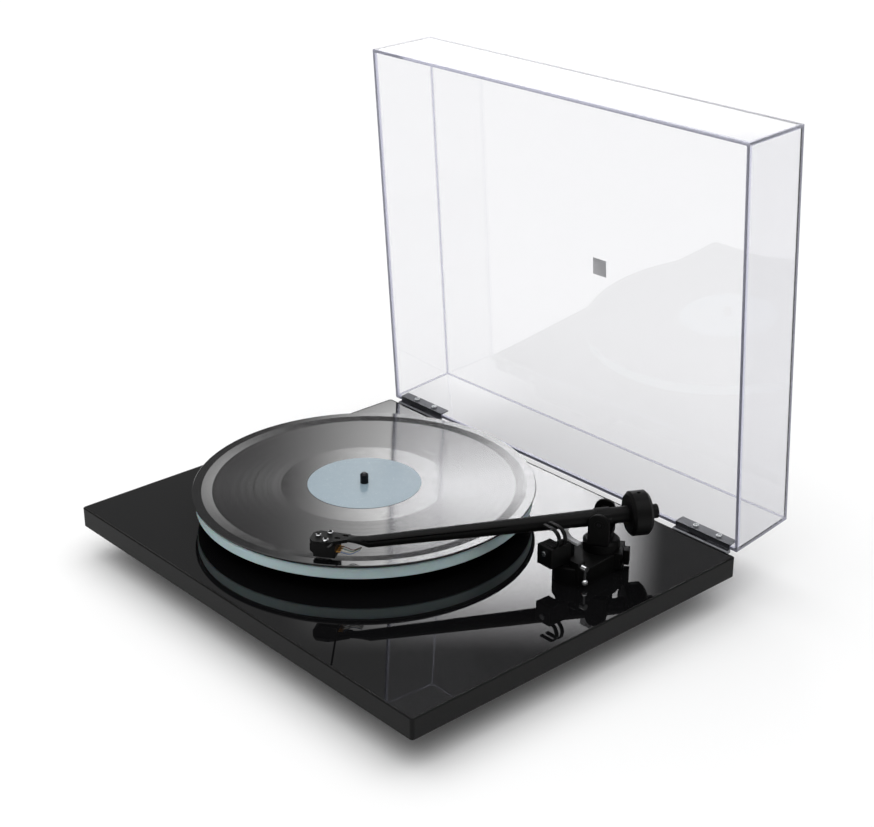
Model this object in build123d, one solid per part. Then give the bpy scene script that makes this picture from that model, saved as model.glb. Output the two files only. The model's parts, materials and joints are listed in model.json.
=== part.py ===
from build123d import *
import math
import os

# Belt-drive record deck with a hinged clear lid, in millimetres.
# Working frame: the middle of the plinth's top face, X to the right, Y to the rear, Z up.
# The pieces are moved at the end so that the origin lies on the floor under the middle of the deck.

# Clearances
SCREW_FIT = 0.1
PRESS_FIT = 0.02
RUN_FIT = 0.05
PART_GAP = 0.3

# Plinth
PLINTH_WIDTH = 447.0
PLINTH_DEPTH = 360.0
PLINTH_THICKNESS = 18.5
PLINTH_CORNER = 3.0
TRIM_WIDTH = 2.0
TRIM_BEVEL = 0.6
TOP_SHEET = 1.2

# Feet: two at the front, one at the rear
FOOT_HEIGHT = 28.7
FOOT_RADIUS = 20.0
FOOT_TOP_RADIUS = 16.0
FOOT_ROUND = 2.0
FOOT_RECESS_RADIUS = 6.0
FOOT_RECESS_DEPTH = 16.0
FOOT_SIDE_INSET = 65.0
FOOT_FRONT_INSET = 62.0
FOOT_REAR_INSET = 58.0
FOOT_SCREW_RADIUS = 2.5
FOOT_SCREW_HEAD_RADIUS = 4.8
FOOT_SCREW_HEAD = 3.0
FOOT_SCREW_BITE = 12.0

# Platter, mat and record, on the spindle axis
SPINDLE_X = -50.5
SPINDLE_Y = 3.1
SPINDLE_RADIUS = 3.6
SPINDLE_NECK = 3.2
SPINDLE_RISE = 9.5
SPINDLE_TIP = 1.6
GLASS_LIFT = 13.6
GLASS_THICKNESS = 10.0
GLASS_RADIUS = 148.0
GLASS_HOLE = 12.15
GLASS_BEVEL = 0.7
MAT_THICKNESS = 2.2
MAT_RADIUS = 147.0
RECORD_RADIUS = 150.75
RECORD_THICKNESS = 1.8
RECORD_BEAD = 8.3
RECORD_EDGE = 0.6
GROOVE_DIP = 0.25
LABEL_RADIUS = 50.0
LABEL_THICKNESS = 0.15

# Main bearing and sub-platter
SHAFT_RADIUS = 5.5
HOUSING_RADIUS = 9.0
HOUSING_DEPTH = 36.0
HOUSING_FLOOR = 3.0
FLANGE_RADIUS = 16.0
FLANGE_THICKNESS = 2.5
BALL_RADIUS = 2.5
BEARING_NUT_RADIUS = 15.0
BEARING_NUT_HEIGHT = 5.0
DRUM_RADIUS = 65.0
DRUM_WALL = 5.0
DRUM_BOTTOM = 2.8
DRUM_LIP = 2.0
DRUM_LIP_BOTTOM = 10.0
DRUM_WEB_BOTTOM = 5.0
DRUM_WEB_TOP = 8.6
HUB_WALL = 2.0
HUB_SHORTFALL = 0.6

# Motor, two-step pulley and belt
MOTOR_REACH = 100.0
MOTOR_DIRECTION = 135.0
PULLEY_RATIO = 7.5
FAST_STEP = 1.35
PULLEY_BOTTOM = 2.0
PULLEY_STEP = 5.0
PULLEY_TOP = 9.6
PULLEY_CAP = 1.0
PULLEY_CAP_LIP = 1.2
BELT_THICKNESS = 1.2
BELT_HEIGHT = 3.0
MOTOR_SHAFT_RADIUS = 1.5
MOTOR_SHAFT_DEPTH = 10.0
MOTOR_RADIUS = 25.0
MOTOR_TOP_DEPTH = 6.0
MOTOR_HEIGHT = 25.0
MOTOR_BEVEL = 1.5
MOTOR_EAR_LENGTH = 78.0
MOTOR_EAR_WIDTH = 20.0
MOTOR_EAR_THICKNESS = 1.5
MOTOR_SCREW_SPACING = 66.0
PULLEY_OPENING_GAP = 2.5

# Underside screws, one size for every cover
CASE_SCREW_RADIUS = 1.6
CASE_SCREW_HEAD_RADIUS = 3.0
CASE_SCREW_HEAD = 1.8
CASE_SCREW_BITE = 9.0

# Motor cover with the control board and the power socket
COVER_WIDTH = 108.0
COVER_FRONT_REACH = 34.0
COVER_REAR_INSET = 8.0
COVER_DEPTH = 20.0
COVER_WALL = 2.0
COVER_CORNER = 6.0
COVER_BOSS_RADIUS = 4.0
COVER_BOSS_INSET = 6.5
BOARD_WIDTH = 52.0
BOARD_LENGTH = 40.0
BOARD_THICKNESS = 1.6
BOARD_STAND = 7.0
BOARD_POST_RADIUS = 3.0
BOARD_REAR_INSET = 26.0
CHOKE_SIZE = 12.0
CHOKE_HEIGHT = 7.0
CAPACITOR_RADIUS = 4.0
CAPACITOR_HEIGHT = 7.5
SOCKET_WIDTH = 12.0
SOCKET_LENGTH = 14.0
SOCKET_HEIGHT = 11.0
SOCKET_NOSE_RADIUS = 4.2
SOCKET_BORE = 2.9
SOCKET_BORE_DEPTH = 10.0
SOCKET_PIN_RADIUS = 1.0

# Power switch under the front left corner
SWITCH_X = -160.0
SWITCH_FRONT_INSET = 14.0
SWITCH_WIDTH = 26.0
SWITCH_LENGTH = 18.0
SWITCH_HEIGHT = 14.0
SWITCH_EAR = 9.0
SWITCH_EAR_THICKNESS = 2.0
ROCKER_WIDTH = 16.0
ROCKER_HEIGHT = 8.0
ROCKER_DEPTH = 6.0
ROCKER_PIVOT_DEPTH = 2.4
ROCKER_PIN_RADIUS = 1.0
ROCKER_LEAN = 7.0
ROCKER_POCKET_DEPTH = 8.0
ROCKER_END_GAP = 0.9
ROCKER_BEVEL = 0.8

# Signal lead gland under the arm
GLAND_REAR_INSET = 30.0
GLAND_WIDTH = 16.0
GLAND_LENGTH = 18.0
GLAND_HEIGHT = 13.0
GLAND_BORE = 2.75
GLAND_EAR = 8.0
GLAND_EAR_THICKNESS = 2.0

# Clear lid, described closed and then turned open about the hinge axis
LID_WIDTH = 442.0
LID_DEPTH = 358.0
LID_HEIGHT = 69.0
LID_WALL = 2.8
LID_DRAFT = 2.4
LID_CORNER = 1.2
LID_SEAT = 0.8
LID_REAR_SET = 0.5
LID_OPEN = 86.27
BADGE_SIZE = 16.0
BADGE_THICKNESS = 0.6

# Lid hinges: both are the same way round
HINGE_BEHIND = 2.5
HINGE_BELOW = 1.9
HINGE_SIDE_INSET = 38.5
LEAF_LENGTH = 60.0
LEAF_HEIGHT = 9.6
LEAF_THICKNESS = 1.2
LEAF_LIFT = 0.15
LEAF_SEAT = 0.05
KNUCKLE_RADIUS = 2.2
KNUCKLE_FIRST = 15.0
KNUCKLE_SECOND = 36.0
HINGE_PIN_RADIUS = 1.0
LEAF_SCREW_RADIUS = 1.4
LEAF_SCREW_HEAD_RADIUS = 2.7
LEAF_SCREW_HEAD = 1.3
LEAF_SCREW_SLOT = 0.7
LEAF_SCREW_HEIGHT = 5.0
LEAF_SCREW_FIRST = 19.0
LEAF_SCREW_SPACING = 25.4
BASE_LEAF_TOP = 4.6
BASE_LEAF_BOTTOM = 16.4
BASE_SCREW_INSET = 12.0

# Tonearm geometry
PIVOT_TO_SPINDLE = 222.0
PIVOT_DIRECTION = 22.5
EFFECTIVE_LENGTH = 237.0
OFFSET_ANGLE = 23.9
HEAD_BACK = 32.0
REST_GROOVE = 138.0
INNER_GROOVE = 58.0
PARK_SWING = 28.0
ARM_HEIGHT = 43.5
STYLUS_GAP = 0.3

# Arm base, column and vertical bearing
ARM_BASE_HEIGHT = 15.5
ARM_BASE_REAR_RADIUS = 17.0
ARM_BASE_FRONT_RADIUS = 18.5
ARM_BASE_REACH = 31.0
ARM_BASE_ROUND = 1.2
PILLAR_RADIUS = 15.4
PILLAR_HEIGHT = 25.0
PILLAR_BEVEL = 2.0
COLUMN_RADIUS = 11.5
COLUMN_DEPTH = 34.0
ARM_NUT_RADIUS = 18.0
ARM_NUT_HEIGHT = 6.0
ARM_SHAFT_RADIUS = 4.0
ARM_BEARING_RADIUS = 8.0
ARM_BEARING_HEIGHT = 5.0
COLUMN_BORE = 6.0

# Yoke and horizontal bearing
YOKE_LENGTH = 18.0
YOKE_WIDTH = 33.0
YOKE_CHEEK = 3.2
YOKE_FLOOR = 6.5
YOKE_ROUND = 0.8
PIVOT_PIN_RADIUS = 1.5
PIVOT_PIN_DEPTH = 4.0
PIVOT_BEARING_RADIUS = 3.6

# Arm tube and headshell
TUBE_RADIUS = 7.0
TUBE_END_RADIUS = 4.8
TUBE_WALL = 1.3
TUBE_BEND_RUN = 12.0
HUB_RADIUS = 7.8
HUB_LENGTH = 12.0
SHELL_WIDTH = 19.0
SHELL_NOSE_WIDTH = 10.0
SHELL_NECK_WIDTH = 9.5
SHELL_TOP = 2.7
SHELL_THICKNESS = 3.0
SHELL_FRONT = 3.0
SHELL_TAPER = 4.0
SHELL_WAIST = 12.0
SHELL_REAR = 27.0
SHELL_ROUND = 1.5
SHELL_HOLE_LENGTH = 5.0
SHELL_HOLE_WIDTH = 2.6
SHELL_HOLE_BACK = 18.6
SHELL_HOLE_SIDE = 0.6
SHELL_HOLE_PITCH = 5.2
FINGER_RADIUS = 0.8
FINGER_BACK = 17.0
FINGER_SEAT = 3.5
FINGER_ROOT = 1.5
FINGER_SWEEP = 3.7
FINGER_REACH = 22.2
FINGER_RISE = 8.8

# Counterweight and its stub
STUB_RADIUS = 7.0
STUB_SPIGOT_RADIUS = 3.0
STUB_SPIGOT_LENGTH = 2.0
STUB_END = 41.5
STUB_CAP_RADIUS = 6.0
STUB_CAP_LENGTH = 6.0
WEIGHT_RADIUS = 18.8
WEIGHT_LENGTH = 17.6
WEIGHT_BACK = 30.7
WEIGHT_CHAMFER = 2.6
WEIGHT_HOLLOW_RADIUS = 14.0
WEIGHT_HOLLOW_DEPTH = 6.0
GRUB_RADIUS = 1.6
GRUB_LENGTH = 7.0

# Cartridge
CARTRIDGE_WIDTH = 17.0
CARTRIDGE_FRONT = 2.0
CARTRIDGE_REAR = 19.0
CARTRIDGE_NOSE = 5.0
CARTRIDGE_SPACING = 12.7
CARTRIDGE_SCREW_BACK = 10.8
CARTRIDGE_SCREW_AHEAD = 8.0
CARTRIDGE_SCREW_RADIUS = 1.2
CARTRIDGE_SCREW_HEAD_RADIUS = 2.3
CARTRIDGE_SCREW_HEAD = 1.6
CARTRIDGE_SCREW_BITE = 4.0
HOLDER_WIDTH = 9.0
HOLDER_FRONT = 1.0
HOLDER_REAR = 12.0
HOLDER_HEIGHT = 2.6
STYLUS_DROP = 1.95
CANTILEVER_RADIUS = 0.35
CANTILEVER_BACK = 5.0
LEAD_RADIUS = 0.35
LEAD_SPACING = 3.2
LEAD_RUN = 10.0
LEAD_RISE = 4.5
LEAD_SAG = 2.4

# Arm rest on the base, in line with the parked arm
REST_BACK = 40.0
REST_FOOT_FRONT = 48.0
REST_FRONT = 62.0
REST_INNER = 12.0
REST_OUTER = 4.5
REST_NOSE_LIFT = 2.5
CLAW_BACK = 49.0
CLAW_FINGER = 3.2
CLAW_SLIT = 3.2
CLAW_WALL = 1.6
CLAW_TOP_LIP = 10.0
CLAW_LOW_LIP = 6.0
CLAW_GAP = 0.8
REST_SCREW_RADIUS = 1.4
REST_SCREW_HEAD_RADIUS = 2.4
REST_SCREW_HEAD = 1.2
REST_SCREW_BITE = 5.0
REST_SCREW_DROP = 7.0

# Arm lift with its damper and cue lever
LIFT_RADIUS = 30.0
LIFT_WIDTH = 5.0
LIFT_PLATE = 2.5
LIFT_GAP = 5.5
LIFT_FLOOR = 1.2
LIFT_MARGIN = 7.0
LIFT_POST_SWING = 12.0
LIFT_POST_RADIUS = 2.0
DAMPER_RADIUS = 4.5
DAMPER_GAP = 1.8
DAMPER_BEVEL = 1.0
LEVER_FORWARD = 40.0
LEVER_LIFT = 17.5
LEVER_BLOCK_WIDTH = 8.0
LEVER_BLOCK_START = 6.0
LEVER_BLOCK_END = 16.0
LEVER_END = 22.0
LEVER_AXLE_RADIUS = 1.5
LEVER_HUB_RADIUS = 2.6
LEVER_HUB_LENGTH = 4.0
LEVER_ARM_RADIUS = 1.1
LEVER_DROP = 12.5
LEVER_BALL_RADIUS = 2.6

# Bias slider in a track on the side of the base
BIAS_DIRECTION = 37.0
BIAS_TRACK_LENGTH = 24.0
BIAS_TRACK_REACH = 19.0
BIAS_TRACK_BOTTOM = 2.5
BIAS_TRACK_TOP = 16.5
BIAS_SLIDER_LENGTH = 9.0
BIAS_SLIDER_REACH = 24.0
BIAS_GROOVE_DEPTH = 2.0
BIAS_GROOVE_HEIGHT = 3.6
BIAS_ROUND = 1.0

# Places worked out from the sizes above
REAR = PLINTH_DEPTH / 2
UNDERSIDE = -PLINTH_THICKNESS
GLASS_TOP = GLASS_LIFT + GLASS_THICKNESS
MAT_TOP = GLASS_TOP + MAT_THICKNESS
RECORD_TOP = MAT_TOP + RECORD_THICKNESS
GROOVE_TOP = RECORD_TOP - GROOVE_DIP
PULLEY_RADIUS = DRUM_RADIUS / PULLEY_RATIO
MOTOR_X = SPINDLE_X + MOTOR_REACH * math.cos(math.radians(MOTOR_DIRECTION))
MOTOR_Y = SPINDLE_Y + MOTOR_REACH * math.sin(math.radians(MOTOR_DIRECTION))
COVER_FRONT = MOTOR_Y - COVER_FRONT_REACH
COVER_REAR = REAR - COVER_REAR_INSET
COVER_BOTTOM = UNDERSIDE - COVER_DEPTH
COVER_FLOOR = COVER_BOTTOM + COVER_WALL
SWITCH_FRONT = -REAR + SWITCH_FRONT_INSET
SWITCH_MIDDLE = UNDERSIDE - SWITCH_HEIGHT / 2
HINGE_OFFSET = LID_WIDTH / 2 - HINGE_SIDE_INSET
HINGE_Y = REAR + HINGE_BEHIND
HINGE_Z = -HINGE_BELOW
LID_BACK = REAR - LID_REAR_SET
LID_MIDDLE = LID_BACK - LID_DEPTH / 2
LID_DRAFT_ANGLE = math.degrees(math.atan2(LID_DRAFT, LID_HEIGHT))
PIVOT_X = SPINDLE_X + PIVOT_TO_SPINDLE * math.cos(math.radians(PIVOT_DIRECTION))
PIVOT_Y = SPINDLE_Y + PIVOT_TO_SPINDLE * math.sin(math.radians(PIVOT_DIRECTION))
BEND_X = EFFECTIVE_LENGTH - HEAD_BACK * math.cos(math.radians(OFFSET_ANGLE))
BEND_Y = HEAD_BACK * math.sin(math.radians(OFFSET_ANGLE))
TUBE_LENGTH = math.hypot(BEND_X, BEND_Y)
TUBE_TAPER = (TUBE_RADIUS - TUBE_END_RADIUS) / TUBE_LENGTH
TIP_DROP = ARM_HEIGHT - GROOVE_TOP - STYLUS_GAP
SHELL_BOTTOM = SHELL_TOP - SHELL_THICKNESS
HOLDER_BOTTOM = STYLUS_DROP - TIP_DROP
CARTRIDGE_BOTTOM = HOLDER_BOTTOM + HOLDER_HEIGHT
BASE = (Align.CENTER, Align.CENTER, Align.MIN)


def groove_angle(radius):
    """Angle at the arm's pivot between the spindle and the stylus on a groove."""
    sides = PIVOT_TO_SPINDLE**2 + EFFECTIVE_LENGTH**2 - radius**2
    return math.degrees(math.acos(sides / (2 * PIVOT_TO_SPINDLE * EFFECTIVE_LENGTH)))


def tube_radius(distance):
    """Radius of the tapered arm tube at a distance from the pivot."""
    return TUBE_RADIUS - TUBE_TAPER * distance


SWING_IN = groove_angle(REST_GROOVE) - groove_angle(INNER_GROOVE)
STYLUS_LINE = 180 + PIVOT_DIRECTION + groove_angle(REST_GROOVE)
YOKE_LINE = STYLUS_LINE - OFFSET_ANGLE
TUBE_LINE = STYLUS_LINE + math.degrees(math.atan2(BEND_Y, BEND_X))
PARK_LINE = TUBE_LINE + PARK_SWING
LIFT_TOP = ARM_HEIGHT - tube_radius(LIFT_RADIUS) - LIFT_GAP
DAMPER_TOP = LIFT_TOP - LIFT_PLATE - DAMPER_GAP

# Frames: X of the arm frames runs from the pivot towards the head, Z up from the tube's axis
AT_SPINDLE = Pos(SPINDLE_X, SPINDLE_Y, 0)
AT_MOTOR = Pos(MOTOR_X, MOTOR_Y, 0)
AT_COLUMN = Pos(PIVOT_X, PIVOT_Y, 0)
AT_PIVOT = Pos(PIVOT_X, PIVOT_Y, ARM_HEIGHT)
ON_TUBE = AT_PIVOT * Rot(0, 0, TUBE_LINE)
ON_YOKE = AT_PIVOT * Rot(0, 0, YOKE_LINE)
ON_HEAD = AT_PIVOT * Rot(0, 0, STYLUS_LINE) * Pos(EFFECTIVE_LENGTH, 0, 0) * Rot(0, 0, -OFFSET_ANGLE)
ON_REST = AT_PIVOT * Rot(0, 0, PARK_LINE)
ON_BIAS = AT_COLUMN * Rot(0, 0, BIAS_DIRECTION)
OPEN_LID = Pos(0, HINGE_Y, HINGE_Z) * Rot(-LID_OPEN, 0, 0) * Pos(0, -HINGE_Y, -HINGE_Z)
ON_LID_WALL = Pos(0, LID_BACK - LID_WALL, LID_SEAT) * Rot(LID_DRAFT_ANGLE, 0, 0)


def drum(radius, bottom, top):
    """Upright cylinder between two heights."""
    return Pos(0, 0, bottom) * Cylinder(radius, top - bottom, align=BASE)


def ring(outer, inner, bottom, top):
    """Upright tube between two heights."""
    return drum(outer, bottom, top) - drum(inner, bottom, top)


def block(left, right, front, rear, bottom, top):
    """Box between two corners."""
    size = Box(right - left, rear - front, top - bottom, align=(Align.MIN, Align.MIN, Align.MIN))
    return Pos(left, front, bottom) * size


def rod(radius, start, end):
    """Round bar between two points."""
    along = Vector(*end) - Vector(*start)
    return Plane(origin=start, z_dir=along) * Cylinder(radius, along.length, align=BASE)


def turned(points):
    """Solid turned about Z from an outline of radii and heights."""
    return revolve(Plane.XZ * make_face(Polyline(*points, close=True)), axis=Axis.Z)


def rounded_plate(width, depth, corner, bottom, top):
    """Upright plate with rounded corners."""
    return Pos(0, 0, bottom) * extrude(RectangleRounded(width, depth, corner), top - bottom)


def group(pieces):
    """Separate solids kept in one node."""
    return Compound([solid for piece in pieces for solid in piece.solids()])


# Screws: a head below its seat and a shank up into the board, or the same turned to any side


def screw(radius, shank, head_radius, head):
    """Screw along Z with its seat at the origin, shank upwards, with a slot across the head."""
    body = drum(radius, 0, shank) + drum(head_radius, -head, 0)
    slot = block(-head_radius, head_radius, -radius / 4, radius / 4, -head, -head / 2)
    return body - slot


def foot_places():
    """Middles of the three feet."""
    side = PLINTH_WIDTH / 2 - FOOT_SIDE_INSET
    front = -REAR + FOOT_FRONT_INSET
    return {
        "foot_front_left": Pos(-side, front, UNDERSIDE),
        "foot_front_right": Pos(side, front, UNDERSIDE),
        "foot_rear": Pos(0, REAR - FOOT_REAR_INSET, UNDERSIDE),
    }


def cover_screw_places():
    """Screw axes of the motor cover, at the underside of the plinth."""
    side = COVER_WIDTH / 2 - COVER_BOSS_INSET
    rows = (COVER_FRONT + COVER_BOSS_INSET, COVER_REAR - COVER_BOSS_INSET)
    return [Pos(MOTOR_X + turn * side, y, UNDERSIDE) for turn in (-1, 1) for y in rows]


def motor_screw_places():
    """Screw axes of the motor's two ears, at the underside of the plinth."""
    side = MOTOR_SCREW_SPACING / 2
    return [Pos(MOTOR_X + turn * side, MOTOR_Y, UNDERSIDE) for turn in (-1, 1)]


def ear_screw_places():
    """Screw axes of the switch and of the lead gland, at the underside of the plinth."""
    switch_side = SWITCH_WIDTH / 2 + SWITCH_EAR / 2
    switch_y = SWITCH_FRONT + SWITCH_LENGTH / 2
    gland_side = GLAND_WIDTH / 2 + GLAND_EAR / 2
    gland_y = REAR - GLAND_REAR_INSET - GLAND_LENGTH / 2
    switch = [Pos(SWITCH_X + turn * switch_side, switch_y, UNDERSIDE) for turn in (-1, 1)]
    gland = [Pos(PIVOT_X + turn * gland_side, gland_y, UNDERSIDE) for turn in (-1, 1)]
    return switch, gland


def hinge_starts():
    """Left ends of the two hinges."""
    return {
        "left": -HINGE_OFFSET - LEAF_LENGTH / 2,
        "right": HINGE_OFFSET - LEAF_LENGTH / 2,
    }


def base_screw_places(start):
    """Frames of a hinge base's screws: Z runs forward into the plinth from the plate's rear face."""
    middle = -(BASE_LEAF_TOP + BASE_LEAF_BOTTOM) / 2
    stations = (start + BASE_SCREW_INSET, start + LEAF_LENGTH - BASE_SCREW_INSET)
    return [Pos(x, REAR + LEAF_THICKNESS, middle) * Rot(90, 0, 0) for x in stations]


def leaf_screw_places(start):
    """Frames of a lid leaf's screws: Z runs out through the closed lid's rear wall."""
    stations = (start + LEAF_SCREW_FIRST, start + LEAF_SCREW_FIRST + LEAF_SCREW_SPACING)
    inner = -LEAF_THICKNESS - LEAF_SEAT
    return [ON_LID_WALL * Pos(x, inner, LEAF_SCREW_HEIGHT) * Rot(-90, 0, 0) for x in stations]


# Plinth


def plinth_holes(bottom, top):
    """Bores through the board and its sheet for the bearing, the pulley and the arm column."""
    pulley = PULLEY_RADIUS * FAST_STEP + PULLEY_OPENING_GAP
    return [
        AT_SPINDLE * drum(HOUSING_RADIUS + SCREW_FIT, bottom, top),
        AT_MOTOR * drum(pulley, bottom, top),
        AT_COLUMN * drum(COLUMN_RADIUS + SCREW_FIT, bottom, top),
    ]


def sheet_size():
    """Width and depth of the board inside its edge band."""
    return PLINTH_WIDTH - 2 * TRIM_WIDTH, PLINTH_DEPTH - 2 * TRIM_WIDTH


def plinth_board():
    """Core board with every bore and screw hole."""
    width, depth = sheet_size()
    corner = PLINTH_CORNER - TRIM_WIDTH
    board = rounded_plate(width, depth, corner, UNDERSIDE, -TOP_SHEET)
    board -= plinth_holes(UNDERSIDE, -TOP_SHEET)
    board -= AT_MOTOR * drum(MOTOR_RADIUS + PART_GAP, UNDERSIDE, -MOTOR_TOP_DEPTH + PART_GAP)
    foot_hole = drum(FOOT_SCREW_RADIUS + SCREW_FIT, 0, FOOT_SCREW_BITE)
    board -= [place * foot_hole for place in foot_places().values()]
    case_hole = drum(CASE_SCREW_RADIUS + SCREW_FIT, 0, CASE_SCREW_BITE)
    switch, gland = ear_screw_places()
    for place in cover_screw_places() + motor_screw_places() + switch + gland:
        board -= place * case_hole
    for start in hinge_starts().values():
        board -= [place * base_screw_hole() for place in base_screw_places(start)]
    return board


def base_screw_hole():
    """Hole that a hinge base's screw needs."""
    return drum(CASE_SCREW_RADIUS + SCREW_FIT, 0, LEAF_THICKNESS + TRIM_WIDTH + CASE_SCREW_BITE)


def plinth_top_sheet():
    """Gloss sheet on top of the board."""
    width, depth = sheet_size()
    sheet = rounded_plate(width, depth, PLINTH_CORNER - TRIM_WIDTH, -TOP_SHEET, 0)
    return sheet - plinth_holes(-TOP_SHEET, 0)


def plinth_edge_trim():
    """Edge band round the board, with a fine bevel along its outer edges."""
    width, depth = sheet_size()
    outer = rounded_plate(PLINTH_WIDTH, PLINTH_DEPTH, PLINTH_CORNER, UNDERSIDE, 0)
    rims = outer.edges().filter_by_position(Axis.Z, UNDERSIDE, UNDERSIDE)
    rims += outer.edges().filter_by_position(Axis.Z, 0, 0)
    outer = chamfer(rims, TRIM_BEVEL)
    band = outer - rounded_plate(width, depth, PLINTH_CORNER - TRIM_WIDTH, UNDERSIDE, 0)
    for start in hinge_starts().values():
        band -= [place * base_screw_hole() for place in base_screw_places(start)]
    return band


def foot():
    """Rubber foot hanging from the underside, with a recess for its screw."""
    body = turned(
        [
            (FOOT_SCREW_RADIUS + SCREW_FIT, 0),
            (FOOT_TOP_RADIUS, 0),
            (FOOT_RADIUS, FOOT_ROUND - FOOT_HEIGHT),
            (FOOT_RADIUS - FOOT_ROUND, -FOOT_HEIGHT),
            (FOOT_RECESS_RADIUS, -FOOT_HEIGHT),
            (FOOT_RECESS_RADIUS, FOOT_RECESS_DEPTH - FOOT_HEIGHT),
            (FOOT_SCREW_RADIUS + SCREW_FIT, FOOT_RECESS_DEPTH - FOOT_HEIGHT),
        ]
    )
    return body


def foot_screws():
    """One screw up through each foot."""
    seat = FOOT_RECESS_DEPTH - FOOT_HEIGHT
    piece = screw(FOOT_SCREW_RADIUS, FOOT_SCREW_BITE - seat, FOOT_SCREW_HEAD_RADIUS, FOOT_SCREW_HEAD)
    return group(place * Pos(0, 0, seat) * piece for place in foot_places().values())


# Main bearing, sub-platter and platter


def main_bearing_housing():
    """Flanged well for the platter's shaft, closed at the bottom."""
    bore = SHAFT_RADIUS + RUN_FIT
    return AT_SPINDLE * turned(
        [
            (0, -HOUSING_DEPTH),
            (HOUSING_RADIUS, -HOUSING_DEPTH),
            (HOUSING_RADIUS, 0),
            (FLANGE_RADIUS, 0),
            (FLANGE_RADIUS, FLANGE_THICKNESS),
            (bore, FLANGE_THICKNESS),
            (bore, HOUSING_FLOOR - HOUSING_DEPTH),
            (0, HOUSING_FLOOR - HOUSING_DEPTH),
        ]
    )


def main_bearing_nut():
    """Hexagon nut that clamps the housing from below."""
    nut = extrude(RegularPolygon(BEARING_NUT_RADIUS, 6), BEARING_NUT_HEIGHT)
    nut = Pos(0, 0, UNDERSIDE - BEARING_NUT_HEIGHT) * nut
    return AT_SPINDLE * (nut - drum(HOUSING_RADIUS + RUN_FIT, UNDERSIDE - BEARING_NUT_HEIGHT, UNDERSIDE))


def ball_middle():
    """Height of the thrust ball's middle."""
    return HOUSING_FLOOR - HOUSING_DEPTH + BALL_RADIUS


def thrust_ball():
    """Ball at the bottom of the well."""
    return AT_SPINDLE * Pos(0, 0, ball_middle()) * Sphere(BALL_RADIUS)


def hub_top():
    """Top of the sub-platter's hub, just under the platter's top face."""
    return GLASS_TOP - HUB_SHORTFALL


def main_spindle():
    """Shaft in the bearing, with the slimmer record spindle above it and a fine neck inside the record."""
    foot_height = ball_middle() + BALL_RADIUS + RUN_FIT
    top = RECORD_TOP + SPINDLE_RISE
    free_end = RECORD_TOP + PART_GAP
    return AT_SPINDLE * turned(
        [
            (0, foot_height),
            (SHAFT_RADIUS, foot_height),
            (SHAFT_RADIUS, hub_top()),
            (SPINDLE_NECK, hub_top()),
            (SPINDLE_NECK, free_end),
            (SPINDLE_RADIUS, free_end),
            (SPINDLE_RADIUS, top - SPINDLE_TIP),
            (SPINDLE_RADIUS - SPINDLE_TIP, top),
            (0, top),
        ]
    )


def sub_platter():
    """Belt-driven drum with a hub that centres the glass platter."""
    bore = SHAFT_RADIUS + PRESS_FIT
    boss = GLASS_HOLE - RUN_FIT
    hub = boss + HUB_WALL
    inner = DRUM_RADIUS - DRUM_WALL
    lip = DRUM_RADIUS + DRUM_LIP
    return AT_SPINDLE * turned(
        [
            (bore, DRUM_BOTTOM),
            (hub, DRUM_BOTTOM),
            (hub, DRUM_WEB_BOTTOM),
            (inner, DRUM_WEB_BOTTOM),
            (inner, DRUM_BOTTOM),
            (DRUM_RADIUS, DRUM_BOTTOM),
            (DRUM_RADIUS, DRUM_LIP_BOTTOM),
            (lip, DRUM_LIP_BOTTOM),
            (lip, GLASS_LIFT),
            (inner, GLASS_LIFT),
            (inner, DRUM_WEB_TOP),
            (hub, DRUM_WEB_TOP),
            (hub, GLASS_LIFT),
            (boss, GLASS_LIFT),
            (boss, hub_top()),
            (bore, hub_top()),
        ]
    )


def glass_platter():
    """Float-glass disc with fine ground bevels."""
    disc = ring(GLASS_RADIUS, GLASS_HOLE, GLASS_LIFT, GLASS_TOP)
    rims = disc.edges().filter_by(GeomType.CIRCLE).group_by(SortBy.RADIUS)[-1]
    return AT_SPINDLE * chamfer(rims, GLASS_BEVEL)


def platter_mat():
    """Felt mat on the glass."""
    return AT_SPINDLE * ring(MAT_RADIUS, SPINDLE_RADIUS + PART_GAP, GLASS_TOP, MAT_TOP)


def record():
    """Long-playing record with a raised edge bead and a sunk groove band, recessed for its labels."""
    hole = SPINDLE_RADIUS + RUN_FIT
    bead = RECORD_RADIUS - RECORD_BEAD
    middle = MAT_TOP + RECORD_THICKNESS / 2
    return AT_SPINDLE * turned(
        [
            (hole, MAT_TOP + LABEL_THICKNESS),
            (LABEL_RADIUS, MAT_TOP + LABEL_THICKNESS),
            (LABEL_RADIUS, MAT_TOP),
            (RECORD_RADIUS - RECORD_EDGE, MAT_TOP),
            (RECORD_RADIUS, middle),
            (RECORD_RADIUS - RECORD_EDGE, RECORD_TOP),
            (bead + GROOVE_DIP, RECORD_TOP),
            (bead, GROOVE_TOP),
            (LABEL_RADIUS, GROOVE_TOP),
            (LABEL_RADIUS, RECORD_TOP - LABEL_THICKNESS),
            (hole, RECORD_TOP - LABEL_THICKNESS),
        ]
    )


def record_labels():
    """Paper labels on both faces of the record."""
    hole = SPINDLE_RADIUS + RUN_FIT
    faces = ((MAT_TOP, MAT_TOP + LABEL_THICKNESS), (RECORD_TOP - LABEL_THICKNESS, RECORD_TOP))
    return group(AT_SPINDLE * ring(LABEL_RADIUS, hole, low, high) for low, high in faces)


# Motor and belt


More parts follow.
